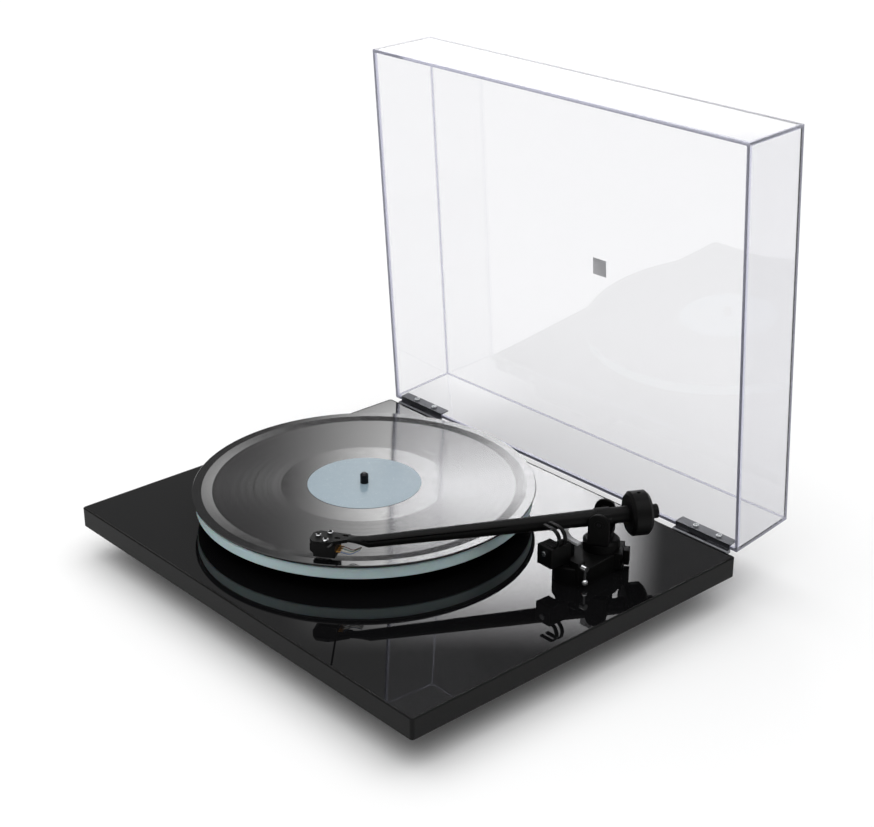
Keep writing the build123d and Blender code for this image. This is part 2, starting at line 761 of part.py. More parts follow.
def motor_body():
    """Motor can sunk into the board, with two ears screwed to the underside."""
    bottom = -MOTOR_TOP_DEPTH - MOTOR_HEIGHT
    can = drum(MOTOR_RADIUS, bottom, -MOTOR_TOP_DEPTH)
    can = chamfer(can.edges().filter_by(GeomType.CIRCLE), MOTOR_BEVEL)
    ears = extrude(SlotOverall(MOTOR_EAR_LENGTH, MOTOR_EAR_WIDTH), MOTOR_EAR_THICKNESS)
    can += Pos(0, 0, UNDERSIDE - MOTOR_EAR_THICKNESS) * ears
    bore_bottom = -MOTOR_TOP_DEPTH - MOTOR_SHAFT_DEPTH - PART_GAP
    can -= drum(MOTOR_SHAFT_RADIUS + RUN_FIT, bore_bottom, -MOTOR_TOP_DEPTH)
    can = AT_MOTOR * can
    hole = drum(CASE_SCREW_RADIUS + SCREW_FIT, -MOTOR_EAR_THICKNESS, 0)
    return can - [place * hole for place in motor_screw_places()]


def motor_shaft():
    """Motor shaft up through the pulley."""
    return AT_MOTOR * drum(MOTOR_SHAFT_RADIUS, -MOTOR_TOP_DEPTH - MOTOR_SHAFT_DEPTH, PULLEY_TOP)


def motor_pulley():
    """Pulley with a step for each record speed and a cap above them."""
    bore = MOTOR_SHAFT_RADIUS + PRESS_FIT
    fast = PULLEY_RADIUS * FAST_STEP
    cap = PULLEY_RADIUS + PULLEY_CAP_LIP
    return AT_MOTOR * turned(
        [
            (bore, PULLEY_BOTTOM),
            (fast, PULLEY_BOTTOM),
            (fast, PULLEY_STEP),
            (PULLEY_RADIUS, PULLEY_STEP),
            (PULLEY_RADIUS, PULLEY_TOP - PULLEY_CAP),
            (cap, PULLEY_TOP - PULLEY_CAP),
            (cap, PULLEY_TOP),
            (bore, PULLEY_TOP),
        ]
    )


def belt_outline(offset):
    """Stretched loop round the drum and the pulley, at a distance from both."""
    drum_edge = (Pos(SPINDLE_X, SPINDLE_Y) * Circle(DRUM_RADIUS + offset)).edge()
    pulley_edge = (Pos(MOTOR_X, MOTOR_Y) * Circle(PULLEY_RADIUS + offset)).edge()
    return make_hull([drum_edge, pulley_edge])


def drive_belt():
    """Rubber belt on the slower step."""
    loop = belt_outline(PART_GAP + BELT_THICKNESS) - belt_outline(PART_GAP)
    return Pos(0, 0, PULLEY_STEP + PART_GAP) * extrude(loop, BELT_HEIGHT)


def motor_cover():
    """Tray under the plinth over the motor, with screw bosses and posts for the control board."""
    length = COVER_REAR - COVER_FRONT
    middle = Pos(MOTOR_X, (COVER_FRONT + COVER_REAR) / 2, 0)
    inner = (COVER_WIDTH - 2 * COVER_WALL, length - 2 * COVER_WALL, COVER_CORNER - COVER_WALL)
    tray = rounded_plate(COVER_WIDTH, length, COVER_CORNER, COVER_BOTTOM, UNDERSIDE)
    tray = middle * (tray - rounded_plate(*inner, COVER_FLOOR, UNDERSIDE))
    boss = drum(COVER_BOSS_RADIUS, -COVER_DEPTH + COVER_WALL, 0)
    hole = drum(CASE_SCREW_RADIUS + SCREW_FIT, -COVER_DEPTH, 0)
    tray += [place * boss for place in cover_screw_places()]
    tray -= [place * hole for place in cover_screw_places()]
    tray += [place * drum(BOARD_POST_RADIUS, COVER_FLOOR, board_bottom()) for place in post_places()]
    nose = (MOTOR_X, COVER_REAR - COVER_WALL, socket_middle())
    tray -= rod(SOCKET_NOSE_RADIUS + SCREW_FIT, nose, (MOTOR_X, COVER_REAR, socket_middle()))
    return tray


def board_bottom():
    """Underside of the control board."""
    return COVER_FLOOR + BOARD_STAND


def board_middle():
    """Middle of the control board along Y."""
    return COVER_REAR - BOARD_REAR_INSET - BOARD_LENGTH / 2


def post_places():
    """Posts under two opposite corners of the control board."""
    side = BOARD_WIDTH / 2 - BOARD_POST_RADIUS
    end = BOARD_LENGTH / 2 - BOARD_POST_RADIUS
    return [Pos(MOTOR_X + turn * side, board_middle() + turn * end, 0) for turn in (-1, 1)]


def motor_control_board():
    """Circuit board with a choke and two capacitors."""
    top = board_bottom() + BOARD_THICKNESS
    width, length = BOARD_WIDTH / 2, BOARD_LENGTH / 2
    board = block(-width, width, -length, length, board_bottom(), top)
    half = CHOKE_SIZE / 2
    board += Pos(-width / 2, 0, 0) * block(-half, half, -half, half, top, top + CHOKE_HEIGHT)
    can = drum(CAPACITOR_RADIUS, top, top + CAPACITOR_HEIGHT)
    board += [Pos(width / 2, turn * length / 2, 0) * can for turn in (-1, 1)]
    return Pos(MOTOR_X, board_middle(), 0) * board


def socket_middle():
    """Height of the power socket's axis."""
    return (COVER_FLOOR + UNDERSIDE) / 2


def power_socket():
    """Low-voltage barrel socket behind the cover's rear wall."""
    inside = COVER_REAR - COVER_WALL
    half = SOCKET_WIDTH / 2
    low = socket_middle() - SOCKET_HEIGHT / 2
    body = block(-half, half, inside - SOCKET_LENGTH, inside, low, low + SOCKET_HEIGHT)
    body = Pos(MOTOR_X, 0, 0) * body
    mouth = (MOTOR_X, COVER_REAR, socket_middle())
    back = (MOTOR_X, COVER_REAR - SOCKET_BORE_DEPTH, socket_middle())
    body += rod(SOCKET_NOSE_RADIUS, (MOTOR_X, inside, socket_middle()), mouth)
    body -= rod(SOCKET_BORE, back, mouth)
    tip = (MOTOR_X, COVER_REAR - SOCKET_PIN_RADIUS, socket_middle())
    return body + rod(SOCKET_PIN_RADIUS, back, tip)


def underside_screws():
    """Screws of the motor, its cover, the switch and the lead gland."""
    def piece(grip):
        shank = grip + CASE_SCREW_BITE - PART_GAP
        return Pos(0, 0, -grip) * screw(CASE_SCREW_RADIUS, shank, CASE_SCREW_HEAD_RADIUS, CASE_SCREW_HEAD)

    switch, gland = ear_screw_places()
    placed = [(place, COVER_DEPTH) for place in cover_screw_places()]
    placed += [(place, MOTOR_EAR_THICKNESS) for place in motor_screw_places()]
    placed += [(place, SWITCH_EAR_THICKNESS) for place in switch]
    placed += [(place, GLAND_EAR_THICKNESS) for place in gland]
    return group(place * piece(grip) for place, grip in placed)


# Power switch and lead gland


def eared_box(width, length, height, ear, ear_thickness, places):
    """Box under the plinth with a screw ear on each side, its front face on Y = 0."""
    half = width / 2
    body = block(-half, half, 0, length, UNDERSIDE - height, UNDERSIDE)
    ears = block(-half - ear, half + ear, 0, length, UNDERSIDE - ear_thickness, UNDERSIDE)
    hole = drum(CASE_SCREW_RADIUS + SCREW_FIT, -ear_thickness, 0)
    return body + ears, [place * hole for place in places]


def rocker_pivot():
    """Place of the rocker's upright pivot."""
    return Pos(SWITCH_X, SWITCH_FRONT + ROCKER_PIVOT_DEPTH, SWITCH_MIDDLE)


def switch_body():
    """Switch case with a pocket for the rocker and a bore for its pivot."""
    switch, _ = ear_screw_places()
    box = (SWITCH_WIDTH, SWITCH_LENGTH, SWITCH_HEIGHT, SWITCH_EAR, SWITCH_EAR_THICKNESS)
    body, holes = eared_box(*box, switch)
    body = Pos(SWITCH_X, SWITCH_FRONT, 0) * body - holes
    half = ROCKER_WIDTH / 2 + ROCKER_END_GAP
    high = ROCKER_HEIGHT / 2 + PART_GAP
    pocket = block(-half, half, 0, ROCKER_POCKET_DEPTH, -high, high)
    body -= Pos(SWITCH_X, SWITCH_FRONT, SWITCH_MIDDLE) * pocket
    return body - rocker_pivot() * drum(ROCKER_PIN_RADIUS + RUN_FIT, -rocker_pin(), rocker_pin())


def rocker_pin():
    """Half length of the rocker's pivot pin."""
    return ROCKER_HEIGHT / 2 + ROCKER_PIN_RADIUS


def power_switch_rocker():
    """Two-sided rocker on an upright pivot, leaning to its off side."""
    front = -ROCKER_DEPTH / 2 - ROCKER_PIN_RADIUS
    rear = ROCKER_DEPTH / 2
    half = ROCKER_WIDTH / 2
    outline = [(-half, front), (0, front + ROCKER_BEVEL), (half, front), (half, rear), (-half, rear)]
    paddle = extrude(make_face(Polyline(*outline, close=True)), ROCKER_HEIGHT)
    paddle = Pos(0, 0, -ROCKER_HEIGHT / 2) * paddle
    paddle += drum(ROCKER_PIN_RADIUS, PART_GAP - rocker_pin(), rocker_pin() - PART_GAP)
    return rocker_pivot() * Rot(0, 0, -ROCKER_LEAN) * paddle


def signal_lead_gland():
    """Gland under the arm with a bore to the rear for the signal lead."""
    _, gland = ear_screw_places()
    box = (GLAND_WIDTH, GLAND_LENGTH, GLAND_HEIGHT, GLAND_EAR, GLAND_EAR_THICKNESS)
    body, holes = eared_box(*box, gland)
    front = REAR - GLAND_REAR_INSET - GLAND_LENGTH
    body = Pos(PIVOT_X, front, 0) * body - holes
    middle = UNDERSIDE - GLAND_HEIGHT / 2
    return body - rod(GLAND_BORE, (PIVOT_X, front, middle), (PIVOT_X, front + GLAND_LENGTH, middle))


# Lid and hinges, closed; the lid's own pieces are turned open at the end


def lid_block(inset, height):
    """Drafted block of the lid's outline, set in by a wall."""
    outline = RectangleRounded(LID_WIDTH - 2 * inset, LID_DEPTH - 2 * inset, LID_CORNER)
    return Pos(0, LID_MIDDLE, LID_SEAT) * extrude(outline, height, taper=LID_DRAFT_ANGLE)


def lid_shell():
    """Clear five-sided lid with a notch in its rear rim at each hinge."""
    shell = lid_block(0, LID_HEIGHT) - lid_block(LID_WALL, LID_HEIGHT - LID_WALL)
    notch_top = LID_SEAT + LEAF_LIFT + LEAF_THICKNESS + PART_GAP
    for start in hinge_starts().values():
        ends = (start - PART_GAP, start + LEAF_LENGTH + PART_GAP)
        shell -= block(*ends, LID_BACK - 2 * LID_WALL, LID_BACK + LID_WALL, 0, notch_top)
        hole = drum(LEAF_SCREW_RADIUS + SCREW_FIT, 0, LEAF_THICKNESS + 2 * LID_WALL)
        shell -= [place * hole for place in leaf_screw_places(start)]
    return OPEN_LID * shell


def lid_badge():
    """Small plain plate in the middle of the lid's top."""
    half = BADGE_SIZE / 2
    top = LID_SEAT + LID_HEIGHT
    return OPEN_LID * Pos(0, LID_MIDDLE, top) * block(-half, half, -half, half, 0, BADGE_THICKNESS)


def knuckle(start, end):
    """Hinge barrel between two stations."""
    return rod(KNUCKLE_RADIUS, (start, HINGE_Y, HINGE_Z), (end, HINGE_Y, HINGE_Z))


def pin_bore(start, fit):
    """Bore for the hinge pin."""
    end = start + LEAF_LENGTH
    return rod(HINGE_PIN_RADIUS + fit, (start, HINGE_Y, HINGE_Z), (end, HINGE_Y, HINGE_Z))


def hinge_leaf(start):
    """Leaf inside the lid's rear wall, passing through the notch to its two knuckles."""
    end = start + LEAF_LENGTH
    low = LID_SEAT + LEAF_LIFT
    web_top = low + LEAF_THICKNESS
    plate = block(start, end, -LEAF_THICKNESS - LEAF_SEAT, -LEAF_SEAT, LEAF_LIFT, LEAF_HEIGHT)
    leaf = ON_LID_WALL * plate
    inner = LID_BACK - LID_WALL - LEAF_THICKNESS
    leaf += block(start, end, inner, HINGE_Y, low, web_top)
    for first, last in ((start, start + KNUCKLE_FIRST), (start + KNUCKLE_SECOND, end)):
        leaf += knuckle(first, last)
        leaf += block(first, last, HINGE_Y - KNUCKLE_RADIUS, HINGE_Y + LEAF_THICKNESS, HINGE_Z, web_top)
    leaf -= pin_bore(start, RUN_FIT)
    hole = drum(LEAF_SCREW_RADIUS + SCREW_FIT, 0, LEAF_THICKNESS)
    return OPEN_LID * (leaf - [place * hole for place in leaf_screw_places(start)])


def hinge_base(start):
    """Plate on the plinth's rear face with the middle knuckle."""
    end = start + LEAF_LENGTH
    first = start + KNUCKLE_FIRST + PART_GAP
    last = start + KNUCKLE_SECOND - PART_GAP
    base = block(start, end, REAR, REAR + LEAF_THICKNESS, -BASE_LEAF_BOTTOM, -BASE_LEAF_TOP)
    base += knuckle(first, last)
    base += block(first, last, REAR, HINGE_Y, -BASE_LEAF_TOP - LEAF_THICKNESS, HINGE_Z)
    base -= pin_bore(start, PRESS_FIT)
    hole = drum(CASE_SCREW_RADIUS + SCREW_FIT, 0, LEAF_THICKNESS)
    return base - [place * hole for place in base_screw_places(start)]


def hinge_pins():
    """Pin of each hinge."""
    return group(pin_bore(start, 0) for start in hinge_starts().values())


def hinge_leaf_screws():
    """Two screws in each lid leaf."""
    shank = LEAF_THICKNESS + LEAF_SEAT + LID_WALL
    body = drum(LEAF_SCREW_RADIUS, 0, shank) + drum(LEAF_SCREW_HEAD_RADIUS, -LEAF_SCREW_HEAD, 0)
    body -= drum(LEAF_SCREW_RADIUS, -LEAF_SCREW_HEAD, -LEAF_SCREW_HEAD + LEAF_SCREW_SLOT)
    starts = hinge_starts().values()
    return group(OPEN_LID * place * body for start in starts for place in leaf_screw_places(start))


def hinge_base_screws():
    """Two screws in each hinge base."""
    shank = LEAF_THICKNESS + TRIM_WIDTH + CASE_SCREW_BITE - PART_GAP
    body = screw(CASE_SCREW_RADIUS, shank, CASE_SCREW_HEAD_RADIUS, CASE_SCREW_HEAD)
    starts = hinge_starts().values()
    return group(place * body for start in starts for place in base_screw_places(start))


# Arm base


def base_outline():
    """Egg-shaped outline of the arm base, about the arm's pivot."""
    rear = Circle(ARM_BASE_REAR_RADIUS).edge()
    front = (Pos(0, -ARM_BASE_REACH) * Circle(ARM_BASE_FRONT_RADIUS)).edge()
    return make_hull([rear, front])


def lower_bearing_bottom():
    """Underside of the lower arm bearing."""
    return -COLUMN_DEPTH


def arm_base():
    """Base casting: column through the plinth, lever bearing and bias track."""
    body = extrude(base_outline(), ARM_BASE_HEIGHT)
    top_edges = body.edges().filter_by_position(Axis.Z, ARM_BASE_HEIGHT, ARM_BASE_HEIGHT)
    body = fillet(top_edges, ARM_BASE_ROUND)
    pillar = drum(PILLAR_RADIUS, ARM_BASE_HEIGHT - ARM_BASE_ROUND, PILLAR_HEIGHT)
    body += chamfer(pillar.edges().group_by(Axis.Z)[-1], PILLAR_BEVEL)
    body += drum(COLUMN_RADIUS, -COLUMN_DEPTH, 0)
    half = LEVER_BLOCK_WIDTH / 2
    lever_top = LEVER_LIFT + half
    front = -LEVER_FORWARD - half
    body += block(LEVER_BLOCK_START, LEVER_BLOCK_END, front, front + LEVER_BLOCK_WIDTH, 0, lever_top)
    axle_start = (LEVER_BLOCK_START, -LEVER_FORWARD, LEVER_LIFT)
    axle_end = (LEVER_BLOCK_END, -LEVER_FORWARD, LEVER_LIFT)
    body -= rod(LEVER_AXLE_RADIUS + RUN_FIT, axle_start, axle_end)
    half_track = BIAS_TRACK_LENGTH / 2
    heights = (BIAS_TRACK_BOTTOM, BIAS_TRACK_TOP)
    track = block(0, BIAS_TRACK_REACH, -half_track, half_track, *heights)
    groove_bottom = BIAS_TRACK_REACH - BIAS_GROOVE_DEPTH
    track -= block(groove_bottom, BIAS_TRACK_REACH, -half_track, half_track, *bias_groove())
    body += Rot(0, 0, BIAS_DIRECTION) * track
    body -= drum(COLUMN_BORE, -COLUMN_DEPTH, PILLAR_HEIGHT)
    seat = ARM_BEARING_RADIUS + PRESS_FIT
    body -= drum(seat, PILLAR_HEIGHT - ARM_BEARING_HEIGHT, PILLAR_HEIGHT)
    body -= drum(seat, lower_bearing_bottom(), lower_bearing_bottom() + ARM_BEARING_HEIGHT)
    return AT_COLUMN * body


def bias_groove():
    """Lower and upper edge of the bias track's groove."""
    middle = (BIAS_TRACK_BOTTOM + BIAS_TRACK_TOP) / 2
    return middle - BIAS_GROOVE_HEIGHT / 2, middle + BIAS_GROOVE_HEIGHT / 2


def bias_slider():
    """Slider with a tongue in the track's groove."""
    half = BIAS_SLIDER_LENGTH / 2
    face = BIAS_TRACK_REACH + PART_GAP
    heights = (BIAS_TRACK_BOTTOM + PART_GAP, BIAS_TRACK_TOP - PART_GAP)
    body = block(face, BIAS_SLIDER_REACH, -half, half, *heights)
    upright = body.edges().filter_by(Axis.Z).group_by(Axis.X)[-1]
    body = fillet(upright, BIAS_ROUND)
    low, high = bias_groove()
    root = BIAS_TRACK_REACH - BIAS_GROOVE_DEPTH + PART_GAP
    return ON_BIAS * (body + block(root, face, -half, half, low + PART_GAP, high - PART_GAP))


def arm_mount_nut():
    """Nut that clamps the arm column from below."""
    low = UNDERSIDE - ARM_NUT_HEIGHT
    nut = Pos(0, 0, low) * extrude(RegularPolygon(ARM_NUT_RADIUS, 6), ARM_NUT_HEIGHT)
    return AT_COLUMN * (nut - drum(COLUMN_RADIUS + RUN_FIT, low, UNDERSIDE))


def arm_vertical_bearings():
    """Upper and lower bearing of the arm's upright shaft."""
    bottoms = (PILLAR_HEIGHT - ARM_BEARING_HEIGHT, lower_bearing_bottom())
    bore = ARM_SHAFT_RADIUS + RUN_FIT
    races = [ring(ARM_BEARING_RADIUS, bore, low, low + ARM_BEARING_HEIGHT) for low in bottoms]
    return group(AT_COLUMN * race for race in races)


def arm_vertical_shaft():
    """Upright shaft under the yoke."""
    return AT_COLUMN * drum(ARM_SHAFT_RADIUS, lower_bearing_bottom(), PILLAR_HEIGHT + PART_GAP)


# Arm rest and lift


def claw_slot():
    """Half height of the claw's slot."""
    return tube_radius(CLAW_BACK) + CLAW_GAP


def claw_outline():
    """Sideways U that opens towards the record, about the parked tube's axis."""
    outer = claw_slot() + CLAW_WALL
    top_lip = Pos(-CLAW_TOP_LIP / 2, outer / 2) * Rectangle(CLAW_TOP_LIP, outer)
    low_lip = Pos(-CLAW_LOW_LIP / 2, -outer / 2) * Rectangle(CLAW_LOW_LIP, outer)
    inner = Circle(claw_slot()) + Pos(-CLAW_TOP_LIP, 0) * Rectangle(2 * CLAW_TOP_LIP, 2 * claw_slot())
    return Circle(outer) + top_lip + low_lip - inner


def arm_rest():
    """Post on the base with two claw fingers for the parked tube."""
    sides = (-REST_INNER, REST_OUTER)
    foot_bottom = ARM_BASE_HEIGHT - ARM_HEIGHT
    top = -claw_slot() - CLAW_WALL / 2
    post = block(REST_BACK, REST_FOOT_FRONT, -REST_OUTER, REST_OUTER, foot_bottom, top)
    nose_bottom = foot_bottom + REST_NOSE_LIFT
    post += block(REST_FOOT_FRONT, REST_FRONT, *sides, nose_bottom, top)
    finger = extrude(Plane.YZ * claw_outline(), CLAW_FINGER)
    post += [Pos(CLAW_BACK + turn * (CLAW_FINGER + CLAW_SLIT), 0, 0) * finger for turn in (0, 1)]
    hole = rod(REST_SCREW_RADIUS + SCREW_FIT, rest_screw_seat(-REST_SCREW_BITE), rest_screw_seat(0))
    return ON_REST * (post - hole)


def rest_screw_seat(ahead):
    """Point on the axis of the screw in the post's nose."""
    return REST_FRONT + ahead, (REST_OUTER - REST_INNER) / 2, -claw_slot() - REST_SCREW_DROP


def arm_rest_screw():
    """Screw in the post's nose."""
    shank = REST_SCREW_BITE - PART_GAP
    body = screw(REST_SCREW_RADIUS, shank, REST_SCREW_HEAD_RADIUS, REST_SCREW_HEAD)
    return ON_REST * Pos(*rest_screw_seat(0)) * Rot(0, -90, 0) * body


def lift_post():
    """Frame of the lift's post."""
    return AT_COLUMN * Rot(0, 0, TUBE_LINE + LIFT_POST_SWING) * Pos(LIFT_RADIUS, 0, 0)


def lift_damper():
    """Oil damper that guides the lift's post."""
    body = drum(DAMPER_RADIUS, ARM_BASE_HEIGHT, DAMPER_TOP)
    body = chamfer(body.edges().group_by(Axis.Z)[-1], DAMPER_BEVEL)
    bore = drum(LIFT_POST_RADIUS + RUN_FIT, ARM_BASE_HEIGHT + LIFT_FLOOR, DAMPER_TOP)
    return lift_post() * (body - bore)


def lift_platform():
    """Curved platform under the tube, over the whole swing of the arm."""
    start = TUBE_LINE - SWING_IN - LIFT_MARGIN
    sweep_angle = SWING_IN + PARK_SWING + 2 * LIFT_MARGIN
    low = LIFT_TOP - LIFT_PLATE
    side = Pos(LIFT_RADIUS, low + LIFT_PLATE / 2) * Rectangle(LIFT_WIDTH, LIFT_PLATE)
    arc = revolve(Plane.XZ * side, axis=Axis.Z, revolution_arc=sweep_angle)
    arc = AT_COLUMN * Rot(0, 0, start) * arc
    bottom = ARM_BASE_HEIGHT + LIFT_FLOOR + PART_GAP
    return arc + lift_post() * drum(LIFT_POST_RADIUS, bottom, low)


def cue_lever():
    """Axle through the base's bearing block with a hanging arm and a ball end."""
    axle_end = LEVER_END
    hub_start = LEVER_BLOCK_END + PART_GAP
    y, z = -LEVER_FORWARD, LEVER_LIFT
    lever = rod(LEVER_AXLE_RADIUS, (LEVER_BLOCK_START, y, z), (axle_end, y, z))
    lever += rod(LEVER_HUB_RADIUS, (axle_end - LEVER_HUB_LENGTH, y, z), (axle_end, y, z))
    lever += rod(LEVER_HUB_RADIUS, (hub_start, y, z), (hub_start + LEVER_AXLE_RADIUS, y, z))
    arm_x = axle_end - LEVER_HUB_LENGTH / 2
    lever += rod(LEVER_ARM_RADIUS, (arm_x, y, z - LEVER_DROP), (arm_x, y, z))
    lever += Pos(arm_x, y, z - LEVER_DROP) * Sphere(LEVER_BALL_RADIUS)
    return AT_COLUMN * lever


# Yoke and arm


def arm_yoke():
    """Fork that carries the arm between two cheeks, square to the headshell's offset line."""
    half = YOKE_WIDTH / 2
    low = PILLAR_HEIGHT + PART_GAP - ARM_HEIGHT
    floor = low + YOKE_FLOOR
    end = YOKE_LENGTH / 2
    yoke = block(-end, end, -half, half, low, floor)
    for side in (-1, 1):
        inner = side * (half - YOKE_CHEEK)
        outer = side * half
        cheek = block(-end, end, min(inner, outer), max(inner, outer), low, 0)
        yoke += cheek + rod(end, (0, inner, 0), (0, outer, 0))
    yoke = fillet(yoke.edges().filter_by(Axis.Z).group_by(SortBy.LENGTH)[-1], YOKE_ROUND)
    seat = PIVOT_BEARING_RADIUS + PRESS_FIT
    return ON_YOKE * (yoke - rod(seat, (0, -half, 0), (0, half, 0)))


def cheek_stations():
    """Inner and outer face of the yoke's cheeks."""
    return YOKE_WIDTH / 2 - YOKE_CHEEK, YOKE_WIDTH / 2


def arm_horizontal_bearings():
    """Bearing in each cheek of the yoke."""
    inner, outer = cheek_stations()
    bore = PIVOT_PIN_RADIUS + RUN_FIT
    races = []
    for side in (-1, 1):
        ends = ((0, side * inner, 0), (0, side * outer, 0))
        races.append(rod(PIVOT_BEARING_RADIUS, *ends) - rod(bore, *ends))
    return group(ON_YOKE * race for race in races)


def arm_pivot_pins():
    """Pin in each side of the arm's hub, running in the yoke's bearings."""
    _, outer = cheek_stations()
    start = HUB_RADIUS - PIVOT_PIN_DEPTH
    ends = [((0, side * start, 0), (0, side * outer, 0)) for side in (-1, 1)]
    return group(ON_YOKE * rod(PIVOT_PIN_RADIUS, first, last) for first, last in ends)


def shell_outline():
    """Headshell plate seen from above, about the stylus."""
    half = SHELL_WIDTH / 2
    nose = SHELL_NOSE_WIDTH / 2
    shoulder = SHELL_FRONT - SHELL_TAPER
    corners = [(-SHELL_REAR, -half), (shoulder, -half), (SHELL_FRONT, -nose), (SHELL_FRONT, nose)]
    corners += [(shoulder, half), (-SHELL_WAIST, half), (-SHELL_REAR, SHELL_NECK_WIDTH - half)]
    plate = make_face(Polyline(*corners, close=True))
    return fillet(plate.vertices().group_by(Axis.X)[1:], SHELL_ROUND)


def cartridge_screw_places():
    """Axes of the three cartridge screws, about the stylus."""
    side = CARTRIDGE_SPACING / 2
    ahead = CARTRIDGE_SCREW_AHEAD - CARTRIDGE_SCREW_BACK
    return [Pos(-CARTRIDGE_SCREW_BACK, -side, 0), Pos(-CARTRIDGE_SCREW_BACK, side, 0), Pos(ahead, 0, 0)]


def finger_line():
    """Seat, bend and end of the finger lift's axis, about the stylus."""
    half = SHELL_WIDTH / 2
    share = (SHELL_REAR - FINGER_BACK) / (SHELL_REAR - SHELL_WAIST)
    narrow = SHELL_NECK_WIDTH - half
    edge = narrow + share * (half - narrow)
    middle = (SHELL_TOP + SHELL_BOTTOM) / 2
    seat = Vector(-FINGER_BACK, edge - FINGER_SEAT, middle)
    bend = Vector(-FINGER_BACK, edge + FINGER_ROOT, middle)
    return seat, bend, bend + Vector(-FINGER_SWEEP, FINGER_REACH, FINGER_RISE)


def finger_lift():
    """Bent pin pressed into the headshell's side, with a rounded end."""
    seat, bend, end = finger_line()
    pin = rod(FINGER_RADIUS, seat, bend) + Pos(bend) * Sphere(FINGER_RADIUS)
    pin += rod(FINGER_RADIUS, bend, end) + Pos(end) * Sphere(FINGER_RADIUS)
    return ON_HEAD * pin


def neck_middle():
    """Middle of the headshell's neck, across the head."""
    return (SHELL_NECK_WIDTH - SHELL_WIDTH) / 2


def arm_tube():
    """Tapered tube with its pivot hub behind and an angled headshell in one casting."""
    straight = TUBE_LENGTH - TUBE_BEND_RUN
    round_end = Circle(tube_radius(straight))
    flat_end = RectangleRounded(SHELL_THICKNESS, SHELL_NECK_WIDTH, SHELL_THICKNESS / 2 - PRESS_FIT)
    upright = Rot(0, 90, 0)
    neck = Pos(-SHELL_REAR, neck_middle(), (SHELL_TOP + SHELL_BOTTOM) / 2)
    blend = loft([ON_TUBE * Pos(straight, 0, 0) * upright * round_end, ON_HEAD * neck * upright * flat_end])
    plate = extrude(shell_outline(), SHELL_THICKNESS)
    plate = Pos(0, 0, SHELL_BOTTOM) * plate
    slot = SlotOverall(SHELL_HOLE_LENGTH, SHELL_HOLE_WIDTH)
    hole = Pos(0, 0, SHELL_BOTTOM) * extrude(slot, SHELL_THICKNESS)
    plate -= Pos(-SHELL_HOLE_BACK, -SHELL_HOLE_SIDE, 0) * hole
    plate -= Pos(-SHELL_HOLE_BACK - SHELL_HOLE_PITCH, -SHELL_HOLE_SIDE - SHELL_HOLE_PITCH, 0) * hole
    screw_hole = drum(CARTRIDGE_SCREW_RADIUS + SCREW_FIT, SHELL_BOTTOM, SHELL_TOP)
    plate -= [place * screw_hole for place in cartridge_screw_places()]
    seat, bend, _ = finger_line()
    plate -= rod(FINGER_RADIUS + PRESS_FIT, seat, bend)
    hub = HUB_LENGTH / 2
    ends = (tube_radius(hub), tube_radius(straight))
    outer = Cone(*ends, straight - hub, align=BASE)
    bore = Cone(*(end - TUBE_WALL for end in ends), straight - hub, align=BASE)
    tube = Pos(hub, 0, 0) * upright * (outer - bore)
    tube += rod(HUB_RADIUS, (-hub, 0, 0), (hub, 0, 0))
    spigot = STUB_SPIGOT_RADIUS + PRESS_FIT
    tube -= rod(spigot, (-hub, 0, 0), (STUB_SPIGOT_LENGTH - hub, 0, 0))
    inner, _ = cheek_stations()
    start = HUB_RADIUS - PIVOT_PIN_DEPTH - PART_GAP
    bores = [rod(PIVOT_PIN_RADIUS + RUN_FIT, (0, turn * start, 0), (0, turn * inner, 0)) for turn in (-1, 1)]
    return ON_TUBE * tube + blend + ON_HEAD * plate - [ON_YOKE * bore for bore in bores]


def counterweight_stub():
    """Stub behind the hub that carries the counterweight, with an end cap."""
    hub = -HUB_LENGTH / 2
    stub = rod(STUB_RADIUS, (-STUB_END, 0, 0), (hub, 0, 0))
    stub += rod(STUB_SPIGOT_RADIUS, (hub, 0, 0), (hub + STUB_SPIGOT_LENGTH, 0, 0))
    return ON_TUBE * (stub + rod(STUB_CAP_RADIUS, (-STUB_END - STUB_CAP_LENGTH, 0, 0), (-STUB_END, 0, 0)))


def counterweight():
    """Barrel weight with bevelled ends, a hollow behind, a bore for the stub and a locking screw's hole."""
    half = WEIGHT_LENGTH / 2
    ends = ((-WEIGHT_BACK - half, 0, 0), (-WEIGHT_BACK + half, 0, 0))
    barrel = rod(WEIGHT_RADIUS, *ends)
    barrel = chamfer(barrel.edges().filter_by(GeomType.CIRCLE), WEIGHT_CHAMFER)
    barrel -= rod(STUB_RADIUS + RUN_FIT, *ends)
    barrel -= rod(WEIGHT_HOLLOW_RADIUS, ends[0], (-WEIGHT_BACK - half + WEIGHT_HOLLOW_DEPTH, 0, 0))
    hole = (-WEIGHT_BACK, 0, STUB_RADIUS), (-WEIGHT_BACK, 0, WEIGHT_RADIUS)
    return ON_TUBE * (barrel - rod(GRUB_RADIUS + RUN_FIT, *hole))


def counterweight_grub_screw():
    """Locking screw in the top of the counterweight."""
    low = STUB_RADIUS + PART_GAP
    body = drum(GRUB_RADIUS, low, low + GRUB_LENGTH)
    half = GRUB_RADIUS / 4
    body -= block(-GRUB_RADIUS, GRUB_RADIUS, -half, half, low + GRUB_LENGTH - GRUB_RADIUS, low + GRUB_LENGTH)
    return ON_TUBE * Pos(-WEIGHT_BACK, 0, 0) * body


# Cartridge, about the stylus


